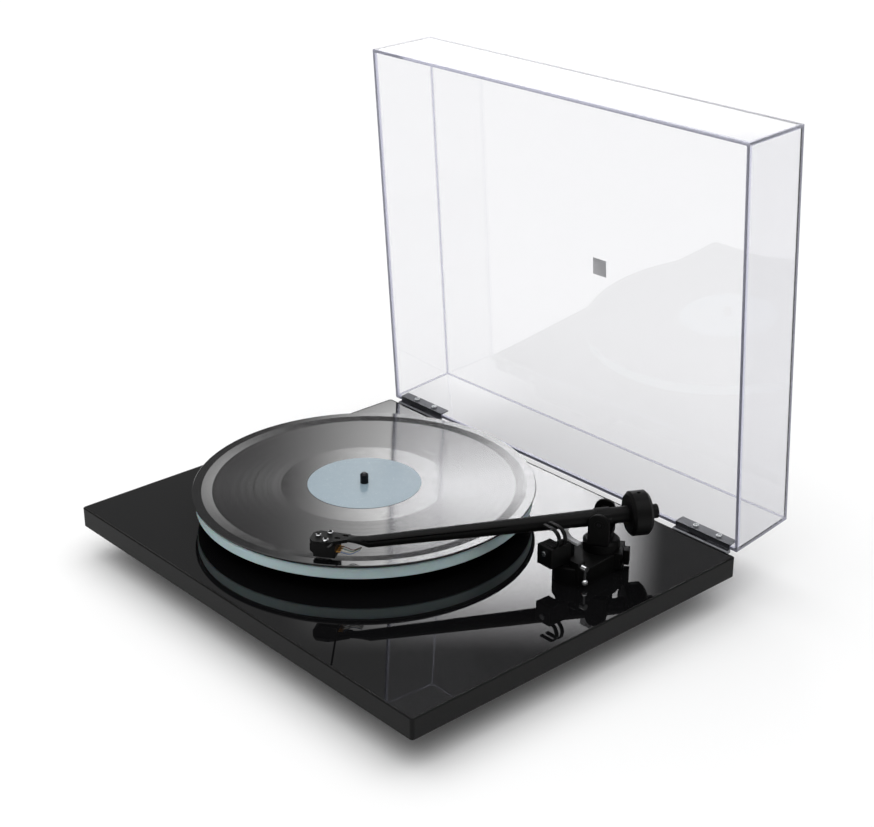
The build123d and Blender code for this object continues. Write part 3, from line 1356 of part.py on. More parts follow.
def cartridge_body():
    """Cartridge with a sloping nose under the headshell."""
    nose = CARTRIDGE_FRONT - CARTRIDGE_NOSE
    side = [(-CARTRIDGE_REAR, SHELL_BOTTOM), (-CARTRIDGE_REAR, CARTRIDGE_BOTTOM), (nose, CARTRIDGE_BOTTOM)]
    side += [(CARTRIDGE_FRONT, CARTRIDGE_BOTTOM + CARTRIDGE_NOSE), (CARTRIDGE_FRONT, SHELL_BOTTOM)]
    half = CARTRIDGE_WIDTH / 2
    body = extrude(Plane.XZ * make_face(Polyline(*side, close=True)), CARTRIDGE_WIDTH)
    body = Pos(0, half, 0) * body
    hole = drum(CARTRIDGE_SCREW_RADIUS + SCREW_FIT, SHELL_BOTTOM - CARTRIDGE_SCREW_BITE, SHELL_BOTTOM)
    return ON_HEAD * (body - [place * hole for place in cartridge_screw_places()])


def cartridge_screws():
    """Three screws through the headshell into the cartridge."""
    shank = SHELL_THICKNESS + CARTRIDGE_SCREW_BITE - PART_GAP
    body = screw(CARTRIDGE_SCREW_RADIUS, shank, CARTRIDGE_SCREW_HEAD_RADIUS, CARTRIDGE_SCREW_HEAD)
    body = Pos(0, 0, SHELL_TOP) * Rot(180, 0, 0) * body
    return group(ON_HEAD * place * body for place in cartridge_screw_places())


def stylus_holder():
    """Moulded stylus holder under the cartridge."""
    half = HOLDER_WIDTH / 2
    body = block(-HOLDER_REAR, HOLDER_FRONT, -half, half, HOLDER_BOTTOM, CARTRIDGE_BOTTOM)
    body = fillet(body.edges().filter_by(Axis.Z), HOLDER_FRONT)
    slot = CANTILEVER_RADIUS + PART_GAP
    body -= block(-CANTILEVER_BACK, HOLDER_FRONT, -slot, slot, HOLDER_BOTTOM, CARTRIDGE_BOTTOM)
    return ON_HEAD * body


def stylus_cantilever():
    """Fine cantilever with the stylus tip, held in the holder's slot."""
    start = (-CANTILEVER_BACK, 0, HOLDER_BOTTOM + 2 * CANTILEVER_RADIUS)
    end = (0, 0, CANTILEVER_RADIUS * 3 - TIP_DROP)
    lever = rod(CANTILEVER_RADIUS, start, end)
    tip = Cone(CANTILEVER_RADIUS / 4, CANTILEVER_RADIUS, CANTILEVER_RADIUS * 3, align=BASE)
    return ON_HEAD * (lever + Pos(0, 0, -TIP_DROP) * tip)


def headshell_leads():
    """Four fine leads from the cartridge's rear pins back to the underside of the tube."""
    leads = []
    for step in (-1.5, -0.5, 0.5, 1.5):
        start = Vector(-CARTRIDGE_REAR - LEAD_RADIUS, step * LEAD_SPACING, CARTRIDGE_BOTTOM + LEAD_RISE)
        across = neck_middle() + step * LEAD_SPACING / 2
        end = Vector(-SHELL_REAR - LEAD_RUN, across, -TUBE_RADIUS + LEAD_RADIUS)
        middle = (start + end) / 2 - Vector(0, 0, LEAD_SAG)
        path = ThreePointArc(start, middle, end)
        leads.append(sweep(Plane(origin=start, z_dir=path % 0) * Circle(LEAD_RADIUS), path=path))
    return group(ON_HEAD * lead for lead in leads)


def build():
    """Every piece by its node name, in the working frame."""
    starts = hinge_starts()
    pieces = {name: place * foot() for name, place in foot_places().items()}
    pieces |= {f"hinge_base_{side}": hinge_base(start) for side, start in starts.items()}
    pieces |= {f"hinge_leaf_{side}": hinge_leaf(start) for side, start in starts.items()}
    makers = [
        plinth_board,
        plinth_top_sheet,
        plinth_edge_trim,
        foot_screws,
        main_bearing_housing,
        main_bearing_nut,
        thrust_ball,
        main_spindle,
        sub_platter,
        glass_platter,
        platter_mat,
        record,
        record_labels,
        motor_body,
        motor_shaft,
        motor_pulley,
        drive_belt,
        motor_cover,
        motor_control_board,
        power_socket,
        underside_screws,
        switch_body,
        power_switch_rocker,
        signal_lead_gland,
        lid_shell,
        lid_badge,
        hinge_pins,
        hinge_leaf_screws,
        hinge_base_screws,
        arm_base,
        bias_slider,
        arm_mount_nut,
        arm_vertical_bearings,
        arm_vertical_shaft,
        arm_rest,
        arm_rest_screw,
        lift_damper,
        lift_platform,
        cue_lever,
        arm_yoke,
        arm_horizontal_bearings,
        arm_pivot_pins,
        arm_tube,
        finger_lift,
        counterweight_stub,
        counterweight,
        counterweight_grub_screw,
        cartridge_body,
        cartridge_screws,
        stylus_holder,
        stylus_cantilever,
        headshell_leads,
    ]
    return pieces | {make.__name__: make() for make in makers}


def floor_shift(pieces):
    """Move that puts the origin on the floor under the middle of the whole deck."""
    box = Compound(list(pieces.values())).bounding_box()
    middle = box.center()
    return Vector(-middle.X, -middle.Y, -box.min.Z)


PIECES = build()
ORIGIN_SHIFT = floor_shift(PIECES)
os.makedirs("parts", exist_ok=True)
for node, piece in PIECES.items():
    export_step(Pos(ORIGIN_SHIFT) * piece, f"parts/{node}.step")
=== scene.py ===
"""Finished look of a belt-drive record deck with a hinged clear lid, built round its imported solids."""
import json
import math

import bmesh
import bpy
from bpy.props import FloatProperty, FloatVectorProperty, IntProperty, PointerProperty
from mathutils import Matrix, Vector

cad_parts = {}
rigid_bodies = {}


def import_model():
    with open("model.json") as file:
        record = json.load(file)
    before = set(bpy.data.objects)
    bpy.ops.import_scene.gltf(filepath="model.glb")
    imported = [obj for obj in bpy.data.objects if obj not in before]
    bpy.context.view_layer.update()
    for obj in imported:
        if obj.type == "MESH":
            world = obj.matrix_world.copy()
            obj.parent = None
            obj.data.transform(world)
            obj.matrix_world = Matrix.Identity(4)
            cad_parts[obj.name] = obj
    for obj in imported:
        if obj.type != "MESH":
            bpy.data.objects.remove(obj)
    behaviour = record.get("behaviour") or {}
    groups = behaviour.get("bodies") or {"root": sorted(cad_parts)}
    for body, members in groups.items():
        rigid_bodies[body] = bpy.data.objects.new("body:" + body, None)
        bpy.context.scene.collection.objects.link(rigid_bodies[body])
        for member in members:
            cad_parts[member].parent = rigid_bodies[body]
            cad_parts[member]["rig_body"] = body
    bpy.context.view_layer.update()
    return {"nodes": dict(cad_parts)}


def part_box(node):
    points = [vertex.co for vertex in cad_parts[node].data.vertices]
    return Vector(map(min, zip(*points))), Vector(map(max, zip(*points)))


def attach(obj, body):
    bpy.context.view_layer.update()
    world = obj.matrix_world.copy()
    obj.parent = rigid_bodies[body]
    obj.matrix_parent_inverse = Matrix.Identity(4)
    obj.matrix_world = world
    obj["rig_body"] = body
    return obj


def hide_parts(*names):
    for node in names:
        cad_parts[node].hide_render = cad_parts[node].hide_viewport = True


bl_info = {
    "name": "Record deck",
    "version": (1, 0, 0),
    "blender": (4, 5, 0),
    "location": "View3D > Sidebar > Record deck",
    "description": "Dresses the packed solids of a record deck and sets them in a pale studio",
    "category": "Object",
}

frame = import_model()

# Angle between the headshell and the line from the arm's pivot to the stylus, in degrees
HEAD_OFFSET = 23.9

# Gap closed when loose triangles are merged, in millimetres, and angle below which they form one face
MERGE_GAP = 0.002
FLAT_ANGLE = 0.5

# Edges sharper than this angle, in degrees, are rounded, in this many steps
ROUNDED_ANGLE = 32.0
ROUNDED_STEPS = 2

# Camera of the photograph
CAMERA_PLACE = Vector((1.01212, -0.89420, 0.75081))
CAMERA_BACK = Vector((0.68198, -0.60715, 0.40776))
CAMERA_ROLL = -0.13
CAMERA_LENS = 71.39
CAMERA_SENSOR = 36.0


def mm(value):
    """Millimetres as metres."""
    return value / 1000.0


def per_metre(size):
    """Pattern scale on coordinates in metres for a feature of a real size in millimetres."""
    return 1000.0 / size


def linear(code):
    """Linear colour of an sRGB hex value."""
    parts = [int(code[i : i + 2], 16) / 255 for i in (1, 3, 5)]
    return tuple(p / 12.92 if p <= 0.04045 else ((p + 0.055) / 1.055) ** 2.4 for p in parts) + (1.0,)


def middle_of(node):
    """Middle of a CAD node's box."""
    low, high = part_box(node)
    return (low + high) / 2


SPINDLE = middle_of("glass_platter") * Vector((1.0, 1.0, 0.0))
ARM_PIVOT = middle_of("arm_pivot_pins")


def colour(name, description, code):
    """Colour that a user may change."""
    return FloatVectorProperty(
        name=name, description=description, subtype="COLOR", size=4, min=0.0, max=1.0, default=linear(code)
    )


def length(name, description, size):
    """Length that a user may change, given in millimetres."""
    return FloatProperty(
        name=name, description=description, subtype="DISTANCE", unit="LENGTH", min=0.0, default=mm(size)
    )


class DeckColours(bpy.types.PropertyGroup):
    """Colours of the deck's finishes."""

    lacquer: colour("Lacquer", "Mirror-gloss top of the plinth", "#0c0c0d")
    edge: colour("Edge", "Satin edge band round the plinth", "#0b0b0b")
    board: colour("Board", "Painted underside of the plinth", "#1a1a1a")
    rubber: colour("Rubber", "Feet and belt", "#191919")
    vinyl: colour("Vinyl", "Record", "#0e0e0f")
    label: colour("Label", "Paper labels of the record", "#8a9ba5")
    felt: colour("Felt", "Mat on the platter", "#222224")
    glass: colour("Glass", "Faces of the glass platter", "#dcefec")
    glass_edge: colour("Glass edge", "Ground rim of the glass platter", "#d6edef")
    acrylic: colour("Acrylic", "Panels of the lid", "#f0f0f2")
    # Pale violet of the sawn rim, also laid along the lid's corners as a painted highlight where the sheet
    # gathers light
    acrylic_edge_highlight: colour("Acrylic edge", "Sawn and polished rim of the lid", "#dcddf0")
    badge: colour("Badge", "Small plate on the lid", "#c6c6c8")
    coating: colour("Arm coating", "Coated castings of the arm", "#050505")
    plastic: colour("Plastic", "Moulded black pieces", "#050505")
    grey_plastic: colour("Grey plastic", "Lift platform under the arm", "#a4a5a7")
    steel: colour("Steel", "Plain screws, nuts and shafts", "#d2d4d6")
    black_steel: colour("Blackened steel", "Spindle", "#2b2b2d")
    chrome: colour("Chrome", "Cue lever and bright screws", "#d6d7d9")
    leaf: colour("Hinge leaf", "Pressed leaves of the hinges", "#75767a")
    brass: colour("Brass", "Bearing well and lead sleeves", "#d19a4c")
    alloy: colour("Alloy", "Turned pulley", "#bfc1c4")
    circuit: colour("Circuit board", "Control board of the motor", "#1f5a36")
    lead_red: colour("Red lead", "Lead of the right channel", "#6d3a30")
    lead_green: colour("Green lead", "Ground of the right channel", "#3f5f4c")
    lead_white: colour("White lead", "Lead of the left channel", "#c9c6b4")
    lead_blue: colour("Blue lead", "Ground of the left channel", "#3c557f")
    floor: colour("Floor", "Studio floor", "#f4f4f4")


class DeckSizes(bpy.types.PropertyGroup):
    """Sizes of the fine detail that the finished pieces carry."""

    bead_width: length("Edge bead", "Width of the record's raised edge", 8.3)
    bead_slope: length("Bead slope", "Width of the slope from the grooves up to the bead", 9.4)
    groove_dip: length("Groove dip", "Depth of the outermost grooves below the bead", 0.7)
    run_out_dip: length("Run-out dip", "Depth of the run-out below the bead", 0.25)
    run_out: length("Run-out radius", "Radius where the grooves end", 73.0)
    track_gap: length("Track gap", "Width of the smooth band between two tracks", 0.3)
    tracks: IntProperty(name="Tracks", description="Groove bands on a side", default=5, min=1, max=12)
    label_radius: length("Label radius", "Radius of the paper labels", 50.0)
    glass_round: length("Glass bevel", "Ground bevel on the rim of the platter", 0.7)
    casting_round: length("Casting edges", "Rounding on the edges of coated castings", 0.5)
    moulding_round: length("Moulding edges", "Rounding on the edges of moulded pieces", 0.4)
    metal_round: length("Metal edges", "Broken edges of turned and pressed metal", 0.15)
    lid_round: length("Lid edges", "Polished rounding on the edges of the lid", 0.2)
    # The pale line is a painted highlight laid along each corner of the lid
    lid_corner_highlight: length("Lid corner", "Width of the pale line along the corners of the lid", 2.9)
    weight_round: length("Counterweight edges", "Rounding on the bevels of the counterweight", 1.4)
    lead_thickness: length("Lead thickness", "Thickness of the fine leads to the cartridge", 0.7)


# Nodes of the finishes


def add_node(tree, kind, settings=None, links=None):
    """Add one node, set its properties and sockets, and link sockets of other nodes into it."""
    made = tree.nodes.new(kind)
    for key, value in (settings or {}).items():
        if isinstance(key, str) and hasattr(made, key):
            setattr(made, key, value)
        else:
            made.inputs[key].default_value = value
    for key, socket in (links or {}).items():
        tree.links.new(socket, made.inputs[key])
    return made


def start_finish(name, settings):
    """Empty material of that name with one Principled shader, whose plain values are set on its sockets."""
    made = bpy.data.materials.get(name) or bpy.data.materials.new(name)
    made.use_nodes = True
    tree = made.node_tree
    tree.nodes.clear()
    shader = add_node(tree, "ShaderNodeBsdfPrincipled", settings)
    add_node(tree, "ShaderNodeOutputMaterial", links={"Surface": shader.outputs["BSDF"]})
    return made, tree, shader


def surface_grain(tree, shader, size, roughness, height, tint=None):
    """Fine grain of a real size in millimetres, in the roughness, the height and, if given, the colour."""
    where = add_node(tree, "ShaderNodeTexCoord")
    noise = add_node(
        tree,
        "ShaderNodeTexNoise",
        {"Scale": per_metre(size), "Detail": 3.0},
        {"Vector": where.outputs["Object"]},
    )
    rough = add_node(
        tree,
        "ShaderNodeMapRange",
        {"From Min": 0.3, "From Max": 0.7, "To Min": roughness[0], "To Max": roughness[1]},
        {"Value": noise.outputs["Fac"]},
    )
    tree.links.new(rough.outputs["Result"], shader.inputs["Roughness"])
    if height:
        bump = add_node(
            tree, "ShaderNodeBump", {"Distance": mm(height)}, {"Height": noise.outputs["Fac"]}
        )
        tree.links.new(bump.outputs["Normal"], shader.inputs["Normal"])
    if tint:
        cloud = add_node(
            tree,
            "ShaderNodeTexNoise",
            {"Scale": per_metre(size * 6), "Detail": 2.0},
            {"Vector": where.outputs["Object"]},
        )
        mix = add_node(
            tree,
            "ShaderNodeMix",
            {"data_type": "RGBA", 6: tint[0], 7: tint[1]},
            {0: cloud.outputs["Fac"]},
        )
        tree.links.new(mix.outputs[2], shader.inputs["Base Color"])
    return where


def shaded(value, factor):
    """Colour made darker or lighter by a factor."""
    return tuple(min(1.0, part * factor) for part in value[:3]) + (1.0,)


def toned(value, spread):
    """Two colours a little darker and lighter than one."""
    return shaded(value, 1 - spread), shaded(value, 1 + spread)


# Finishes


def mirror_lacquer(colours):
    """Polished polyester lacquer: deep black and mirror sharp, with a faint long ripple from the spray."""
    made, tree, shader = start_finish(
        "Polished polyester lacquer", {"Base Color": colours.lacquer, "IOR": 1.52}
    )
    surface_grain(tree, shader, 14.0, (0.015, 0.03), 0.0015)
    return made


def satin_edge(colours):
    """Lipped edge band, rolled satin: even dark sheen with a fine pressed grain."""
    made, tree, shader = start_finish(
        "Satin edge band", {"Base Color": colours.edge, "IOR": 1.5, "Specular IOR Level": 0.12}
    )
    surface_grain(tree, shader, 0.9, (0.38, 0.5), 0.004)
    return made


def painted_board(colours):
    """Fibreboard under thin black paint: dull, with the fibres showing as small lumps."""
    made, tree, shader = start_finish("Painted fibreboard", {"IOR": 1.48})
    surface_grain(tree, shader, 1.6, (0.6, 0.8), 0.03, toned(colours.board, 0.25))
    return made


def moulded_rubber(colours):
    """Moulded rubber: matt black with a dusty grey bloom in soft patches."""
    made, tree, shader = start_finish("Moulded rubber", {"IOR": 1.52, "Specular IOR Level": 0.3})
    surface_grain(tree, shader, 0.6, (0.7, 0.9), 0.02, toned(colours.rubber, 0.3))
    return made


def plain_steel(colours):
    """Zinc-plated steel: bright grey metal with a fine mottled plating."""
    made, tree, shader = start_finish("Zinc-plated steel", {"Metallic": 1.0})
    surface_grain(tree, shader, 0.8, (0.22, 0.38), 0.004, toned(colours.steel, 0.12))
    return made


def blackened_steel(colours):
    """Turned and blackened steel: dark satin metal with fine turning marks."""
    made, tree, shader = start_finish("Blackened steel", {"Metallic": 1.0})
    surface_grain(tree, shader, 0.5, (0.3, 0.42), 0.003, toned(colours.black_steel, 0.15))
    return made


def polished_chrome(colours):
    """Chrome-plated steel: near mirror with faint polishing haze."""
    made, tree, shader = start_finish("Polished chrome", {"Metallic": 1.0})
    surface_grain(tree, shader, 2.5, (0.05, 0.13), 0.001, toned(colours.chrome, 0.04))
    return made


def satin_leaf(colours):
    """Pressed and brushed steel: dark grey satin metal."""
    made, tree, shader = start_finish("Brushed steel", {"Metallic": 1.0})
    surface_grain(tree, shader, 0.6, (0.3, 0.42), 0.003, toned(colours.leaf, 0.08))
    return made


def turned_brass(colours):
    """Turned brass: warm metal with a soft uneven tarnish."""
    made, tree, shader = start_finish("Turned brass", {"Metallic": 1.0})
    surface_grain(tree, shader, 0.7, (0.22, 0.36), 0.003, toned(colours.brass, 0.15))
    return made


def turned_alloy(colours, name="Turned aluminium", value=None):
    """Turned aluminium: pale satin metal with a fine tool grain."""
    made, tree, shader = start_finish(name, {"Metallic": 1.0})
    surface_grain(tree, shader, 0.5, (0.28, 0.42), 0.003, toned(value or colours.alloy, 0.08))
    return made


def coated_casting(colours):
    """Fine powder coat on cast aluminium: dark satin with a close orange-peel texture."""
    made, tree, shader = start_finish("Powder-coated aluminium", {"IOR": 1.5, "Specular IOR Level": 0.13})
    surface_grain(tree, shader, 0.55, (0.42, 0.55), 0.012, toned(colours.coating, 0.12))
    return made


def moulded_plastic(colours):
    """Moulded ABS: black satin with a fine spark-eroded texture."""
    made, tree, shader = start_finish("Moulded ABS", {"IOR": 1.53, "Specular IOR Level": 0.13})
    surface_grain(tree, shader, 0.4, (0.36, 0.5), 0.008, toned(colours.plastic, 0.12))
    return made


def grey_acetal(colours):
    """Moulded acetal: waxy pale grey with soft mottling."""
    made, tree, shader = start_finish("Moulded acetal", {"IOR": 1.48})
    surface_grain(tree, shader, 0.5, (0.4, 0.55), 0.006, toned(colours.grey_plastic, 0.06))
    return made


def wool_felt(colours):
    """Pressed wool felt: dull and soft, with matted fibres and a pale fuzz at grazing angles."""
    made, tree, shader = start_finish(
        "Wool felt", {"IOR": 1.4, "Sheen Weight": 0.4, "Sheen Roughness": 0.5}
    )
    surface_grain(tree, shader, 0.8, (0.85, 1.0), 0.25, toned(colours.felt, 0.35))
    return made


def float_glass(colours):
    """Float glass: clear polished faces with a green cast."""
    made, tree, shader = start_finish(
        "Float glass", {"Base Color": colours.glass, "IOR": 1.52, "Transmission Weight": 1.0}
    )
    surface_grain(tree, shader, 30.0, (0.0, 0.01), 0.0)
    return made


def ground_glass(colours):
    """Ground and dulled glass rim: pale aqua, milky, with a fine grit texture."""
    made, tree, shader = start_finish(
        "Ground glass edge", {"IOR": 1.52, "Subsurface Weight": 0.3, "Subsurface Scale": 0.002}
    )
    surface_grain(tree, shader, 0.5, (0.25, 0.38), 0.004, toned(colours.glass_edge, 0.04))
    return made


def clear_acrylic(colours):
    """Cast acrylic sheet: clear, mirror smooth, with the faintest handling haze."""
    made, tree, shader = start_finish(
        "Cast acrylic", {"Base Color": colours.acrylic, "IOR": 1.49, "Transmission Weight": 1.0}
    )
    surface_grain(tree, shader, 60.0, (0.0, 0.004), 0.0)
    return made


def acrylic_rim_highlight(colours):
    """Sawn and polished acrylic edge, also laid along the lid's corners as a painted highlight: it gathers
    light along the sheet and looks pale violet.
    """
    made, tree, shader = start_finish(
        "Polished acrylic edge with painted highlight",
        {"Base Color": colours.acrylic_edge_highlight, "IOR": 1.49, "Transmission Weight": 0.7},
    )
    surface_grain(tree, shader, 1.5, (0.12, 0.25), 0.002)
    return made


def smooth_vinyl(colours):
    """Pressed vinyl between the grooves: smooth and glossy, with the faintest flow marks."""
    made, tree, shader = start_finish("Pressed vinyl", {"Base Color": colours.vinyl, "IOR": 1.6})
    surface_grain(tree, shader, 9.0, (0.09, 0.13), 0.0)
    return made


def grooved_vinyl(colours):
    """Grooved vinyl: fine rings spread highlights across the grooves into radial streaks."""
    made, tree, shader = start_finish(
        "Grooved vinyl",
        {"Base Color": colours.vinyl, "IOR": 1.6, "Anisotropic": 0.85, "Anisotropic Rotation": 0.25},
    )
    where = add_node(tree, "ShaderNodeTexCoord")
    centre = add_node(
        tree, "ShaderNodeMapping", {"Location": -SPINDLE}, {"Vector": where.outputs["Object"]}
    )
    # Real grooves lie 0.1 mm apart, too fine to show, so loud and quiet passages are drawn as 1.1 mm rings
    rings = add_node(
        tree,
        "ShaderNodeTexWave",
        {
            "wave_type": "RINGS",
            "rings_direction": "Z",
            "Scale": per_metre(1.1) / 20,
            "Distortion": 1.5,
            "Detail": 3.0,
        },
        {"Vector": centre.outputs["Vector"]},
    )
    rough = add_node(
        tree, "ShaderNodeMapRange", {"To Min": 0.13, "To Max": 0.145}, {"Value": rings.outputs["Fac"]}
    )
    tree.links.new(rough.outputs["Result"], shader.inputs["Roughness"])
    round_it = add_node(tree, "ShaderNodeTangent", {"direction_type": "RADIAL", "axis": "Z"})
    tree.links.new(round_it.outputs["Tangent"], shader.inputs["Tangent"])
    return made


def label_paper(colours):
    """Coated label paper, pressed into the vinyl: smooth, with a soft sheen and a faint fibre."""
    made, tree, shader = start_finish("Coated label paper", {"IOR": 1.45, "Specular IOR Level": 0.35})
    surface_grain(tree, shader, 1.2, (0.22, 0.28), 0.003, toned(colours.label, 0.03))
    return made


def circuit_board(colours):
    """Lacquered circuit board: green resist with paler copper tracks under it."""
    made, tree, shader = start_finish("Circuit board", {"IOR": 1.5})
    where = surface_grain(tree, shader, 1.0, (0.25, 0.4), 0.004)
    tracks = add_node(
        tree,
        "ShaderNodeTexBrick",
        {
            "Color1": colours.circuit,
            "Color2": shaded(colours.circuit, 0.85),
            "Mortar": shaded(colours.circuit, 1.7),
            "Scale": per_metre(5.0) / 2,
            "Mortar Size": 0.05,
        },
        {"Vector": where.outputs["Object"]},
    )
    tree.links.new(tracks.outputs["Color"], shader.inputs["Base Color"])
    return made


def lead_cover(name, value):
    """Soft insulation of a fine lead: coloured, with a waxy sheen."""
    made, tree, shader = start_finish(name, {"IOR": 1.5})
    surface_grain(tree, shader, 0.4, (0.35, 0.5), 0.004, toned(value, 0.06))
    return made


# Pieces


def body_of(node):
    """Body that a CAD node rides on."""
    return frame["nodes"][node]["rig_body"]


def add_piece(name, bm, finishes, node, sharp):
    """Object from a bmesh that stands for a CAD node, rides with it and is smooth below an angle."""
    mesh = bpy.data.meshes.new(name)
    bm.to_mesh(mesh)
    bm.free()
    for finish in finishes:
        mesh.materials.append(finish)
    mesh.shade_smooth()
    mesh.set_sharp_from_angle(angle=math.radians(sharp))
    piece = bpy.data.objects.new(name, mesh)
    bpy.context.scene.collection.objects.link(piece)
    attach(piece, body_of(node))
    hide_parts(node)
    return piece


def paint(finish, *nodes):
    """Give CAD nodes that keep their own mesh a finish."""
    for node in nodes:
        mesh = frame["nodes"][node].data
        mesh.materials.clear()
        mesh.materials.append(finish)


def merged_copy(node):
    """Closed bmesh of a CAD node with its flat faces joined."""
    bm = bmesh.new()
    bm.from_mesh(frame["nodes"][node].data)
    bmesh.ops.remove_doubles(bm, verts=bm.verts, dist=mm(MERGE_GAP))
    bmesh.ops.dissolve_limit(
        bm,
        angle_limit=math.radians(FLAT_ANGLE),
        use_dissolve_boundaries=False,
        verts=bm.verts,
        edges=bm.edges,
        delimit=set(),
    )
    return bm


def soften(bm, width):
    """Round the sharp edges of a bmesh."""
    limit = math.radians(ROUNDED_ANGLE)
    edges = [e for e in bm.edges if len(e.link_faces) == 2 and e.calc_face_angle(0.0) > limit]
    bmesh.ops.bevel(
        bm,
        geom=edges,
        offset=width,
        offset_type="OFFSET",
        affect="EDGES",
        segments=ROUNDED_STEPS,
        profile=0.5,
        material=-1,
        clamp_overlap=True,
        loop_slide=True,
    )


def shade_evenly(piece):
    """Let the large faces of a piece set how its rounded edges are shaded."""
    even = piece.modifiers.new("Even shading", "WEIGHTED_NORMAL")
    even.keep_sharp = True


def dress(finish, width, *nodes):
    """Stand a copy with rounded edges in for each CAD node."""
    for node in nodes:
        bm = merged_copy(node)
        if width:
            soften(bm, width)
        shade_evenly(add_piece(f"{node}_finished", bm, [finish], node, sharp=40.0))


def spun(outline, steps, centre=SPINDLE):
    """Closed bmesh turned about an upright axis from an outline of radii and heights in millimetres."""
    bm = bmesh.new()
    verts = [bm.verts.new(centre + Vector((mm(radius), 0.0, mm(height)))) for radius, height in outline]
    edges = [bm.edges.new(pair) for pair in zip(verts, verts[1:] + verts[:1])]
    bmesh.ops.spin(
        bm, geom=verts + edges, cent=centre, axis=(0, 0, 1), angle=math.tau, steps=steps, use_merge=True
    )
    bmesh.ops.remove_doubles(bm, verts=bm.verts, dist=mm(0.0005))
    bmesh.ops.recalc_face_normals(bm, faces=bm.faces)
    return bm


def spindle_radius(face):
    """Distance of a face's middle from the spindle, in metres."""
    return (face.calc_center_median() - SPINDLE).to_2d().length


def height_span(node):
    """Lowest and highest point of a CAD node in millimetres."""
    low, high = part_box(node)
    return low.z * 1000, high.z * 1000


def crisp(outline):
    """Outline with a point close beside each corner, so that shading turns only there."""
    beside, most = 0.05, 0.4
    points = []
    for (radius, height), (next_radius, next_height) in zip(outline, outline[1:]):
        run, rise = next_radius - radius, next_height - height
        share = min(beside / math.hypot(run, rise), most)
        points += [(radius + run * part, height + rise * part) for part in (0, share, 1 - share)]
    return points + [outline[-1]]


def reach_of(node):
    """Radius of a round CAD node on the spindle, in millimetres."""
    low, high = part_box(node)
    return (high.x - low.x) * 500


class DECK_OT_plinth(bpy.types.Operator):
    """Board, mirror-gloss top sheet and satin edge band"""

    bl_idname = "deck.plinth"
    bl_label = "Plinth"

    def execute(self, context):
        """Finish the plinth's three layers."""
        colours = context.scene.deck_colours
        sizes = context.scene.deck_sizes
        paint(painted_board(colours), "plinth_board")
        paint(mirror_lacquer(colours), "plinth_top_sheet")
        dress(satin_edge(colours), sizes.metal_round, "plinth_edge_trim")
        return {"FINISHED"}


class DECK_OT_feet(bpy.types.Operator):
    """Three rubber feet with their screws"""

    bl_idname = "deck.feet"
    bl_label = "Feet"

    def execute(self, context):
        """Finish the feet and the screws in them."""
        colours = context.scene.deck_colours
        sizes = context.scene.deck_sizes
        rubber = moulded_rubber(colours)
        dress(rubber, sizes.moulding_round, "foot_front_left", "foot_front_right", "foot_rear")
        dress(plain_steel(colours), sizes.metal_round, "foot_screws")
        return {"FINISHED"}


class DECK_OT_platter(bpy.types.Operator):
    """Bearing, sub-platter, glass platter and felt mat"""

    bl_idname = "deck.platter"
    bl_label = "Platter"

    def execute(self, context):
        """Finish what turns under the record, from the bearing up."""
        colours = context.scene.deck_colours
        sizes = context.scene.deck_sizes
        steel = plain_steel(colours)
        paint(turned_brass(colours), "main_bearing_housing")
        paint(steel, "thrust_ball")
        dress(steel, sizes.metal_round, "main_bearing_nut")
        dress(blackened_steel(colours), sizes.metal_round, "main_spindle")
        dress(moulded_plastic(colours), sizes.moulding_round, "sub_platter")
        self.add_glass(colours, sizes)
        self.add_mat(colours)
        return {"FINISHED"}

    def add_glass(self, colours, sizes):
        """Glass disc: polished faces, ground rim between two bevels."""
        low, high = height_span("glass_platter")
        bevel = sizes.glass_round * 1000
        hole, rim = 12.15, reach_of("glass_platter")
        outline = [(hole, low), (rim - bevel, low), (rim, low + bevel), (rim, high - bevel)]
        outline += [(rim - bevel, high), (hole, high)]
        bm = spun(outline, 256)
        for face in bm.faces:
            face.material_index = int(spindle_radius(face) > mm(rim - bevel))
        finishes = [float_glass(colours), ground_glass(colours)]
        add_piece("glass_disc", bm, finishes, "glass_platter", sharp=20.0)

    def add_mat(self, colours):
        """Felt disc with a soft cut edge."""
        low, high = height_span("platter_mat")
        hole, rim, soft = 3.9, reach_of("platter_mat"), 0.4
        outline = [(hole, low), (rim - soft, low), (rim, low + soft), (rim, high - soft)]
        outline += [(rim - soft, high), (hole, high)]
        mat = add_piece("felt_mat", spun(outline, 192), [wool_felt(colours)], "platter_mat", sharp=60.0)


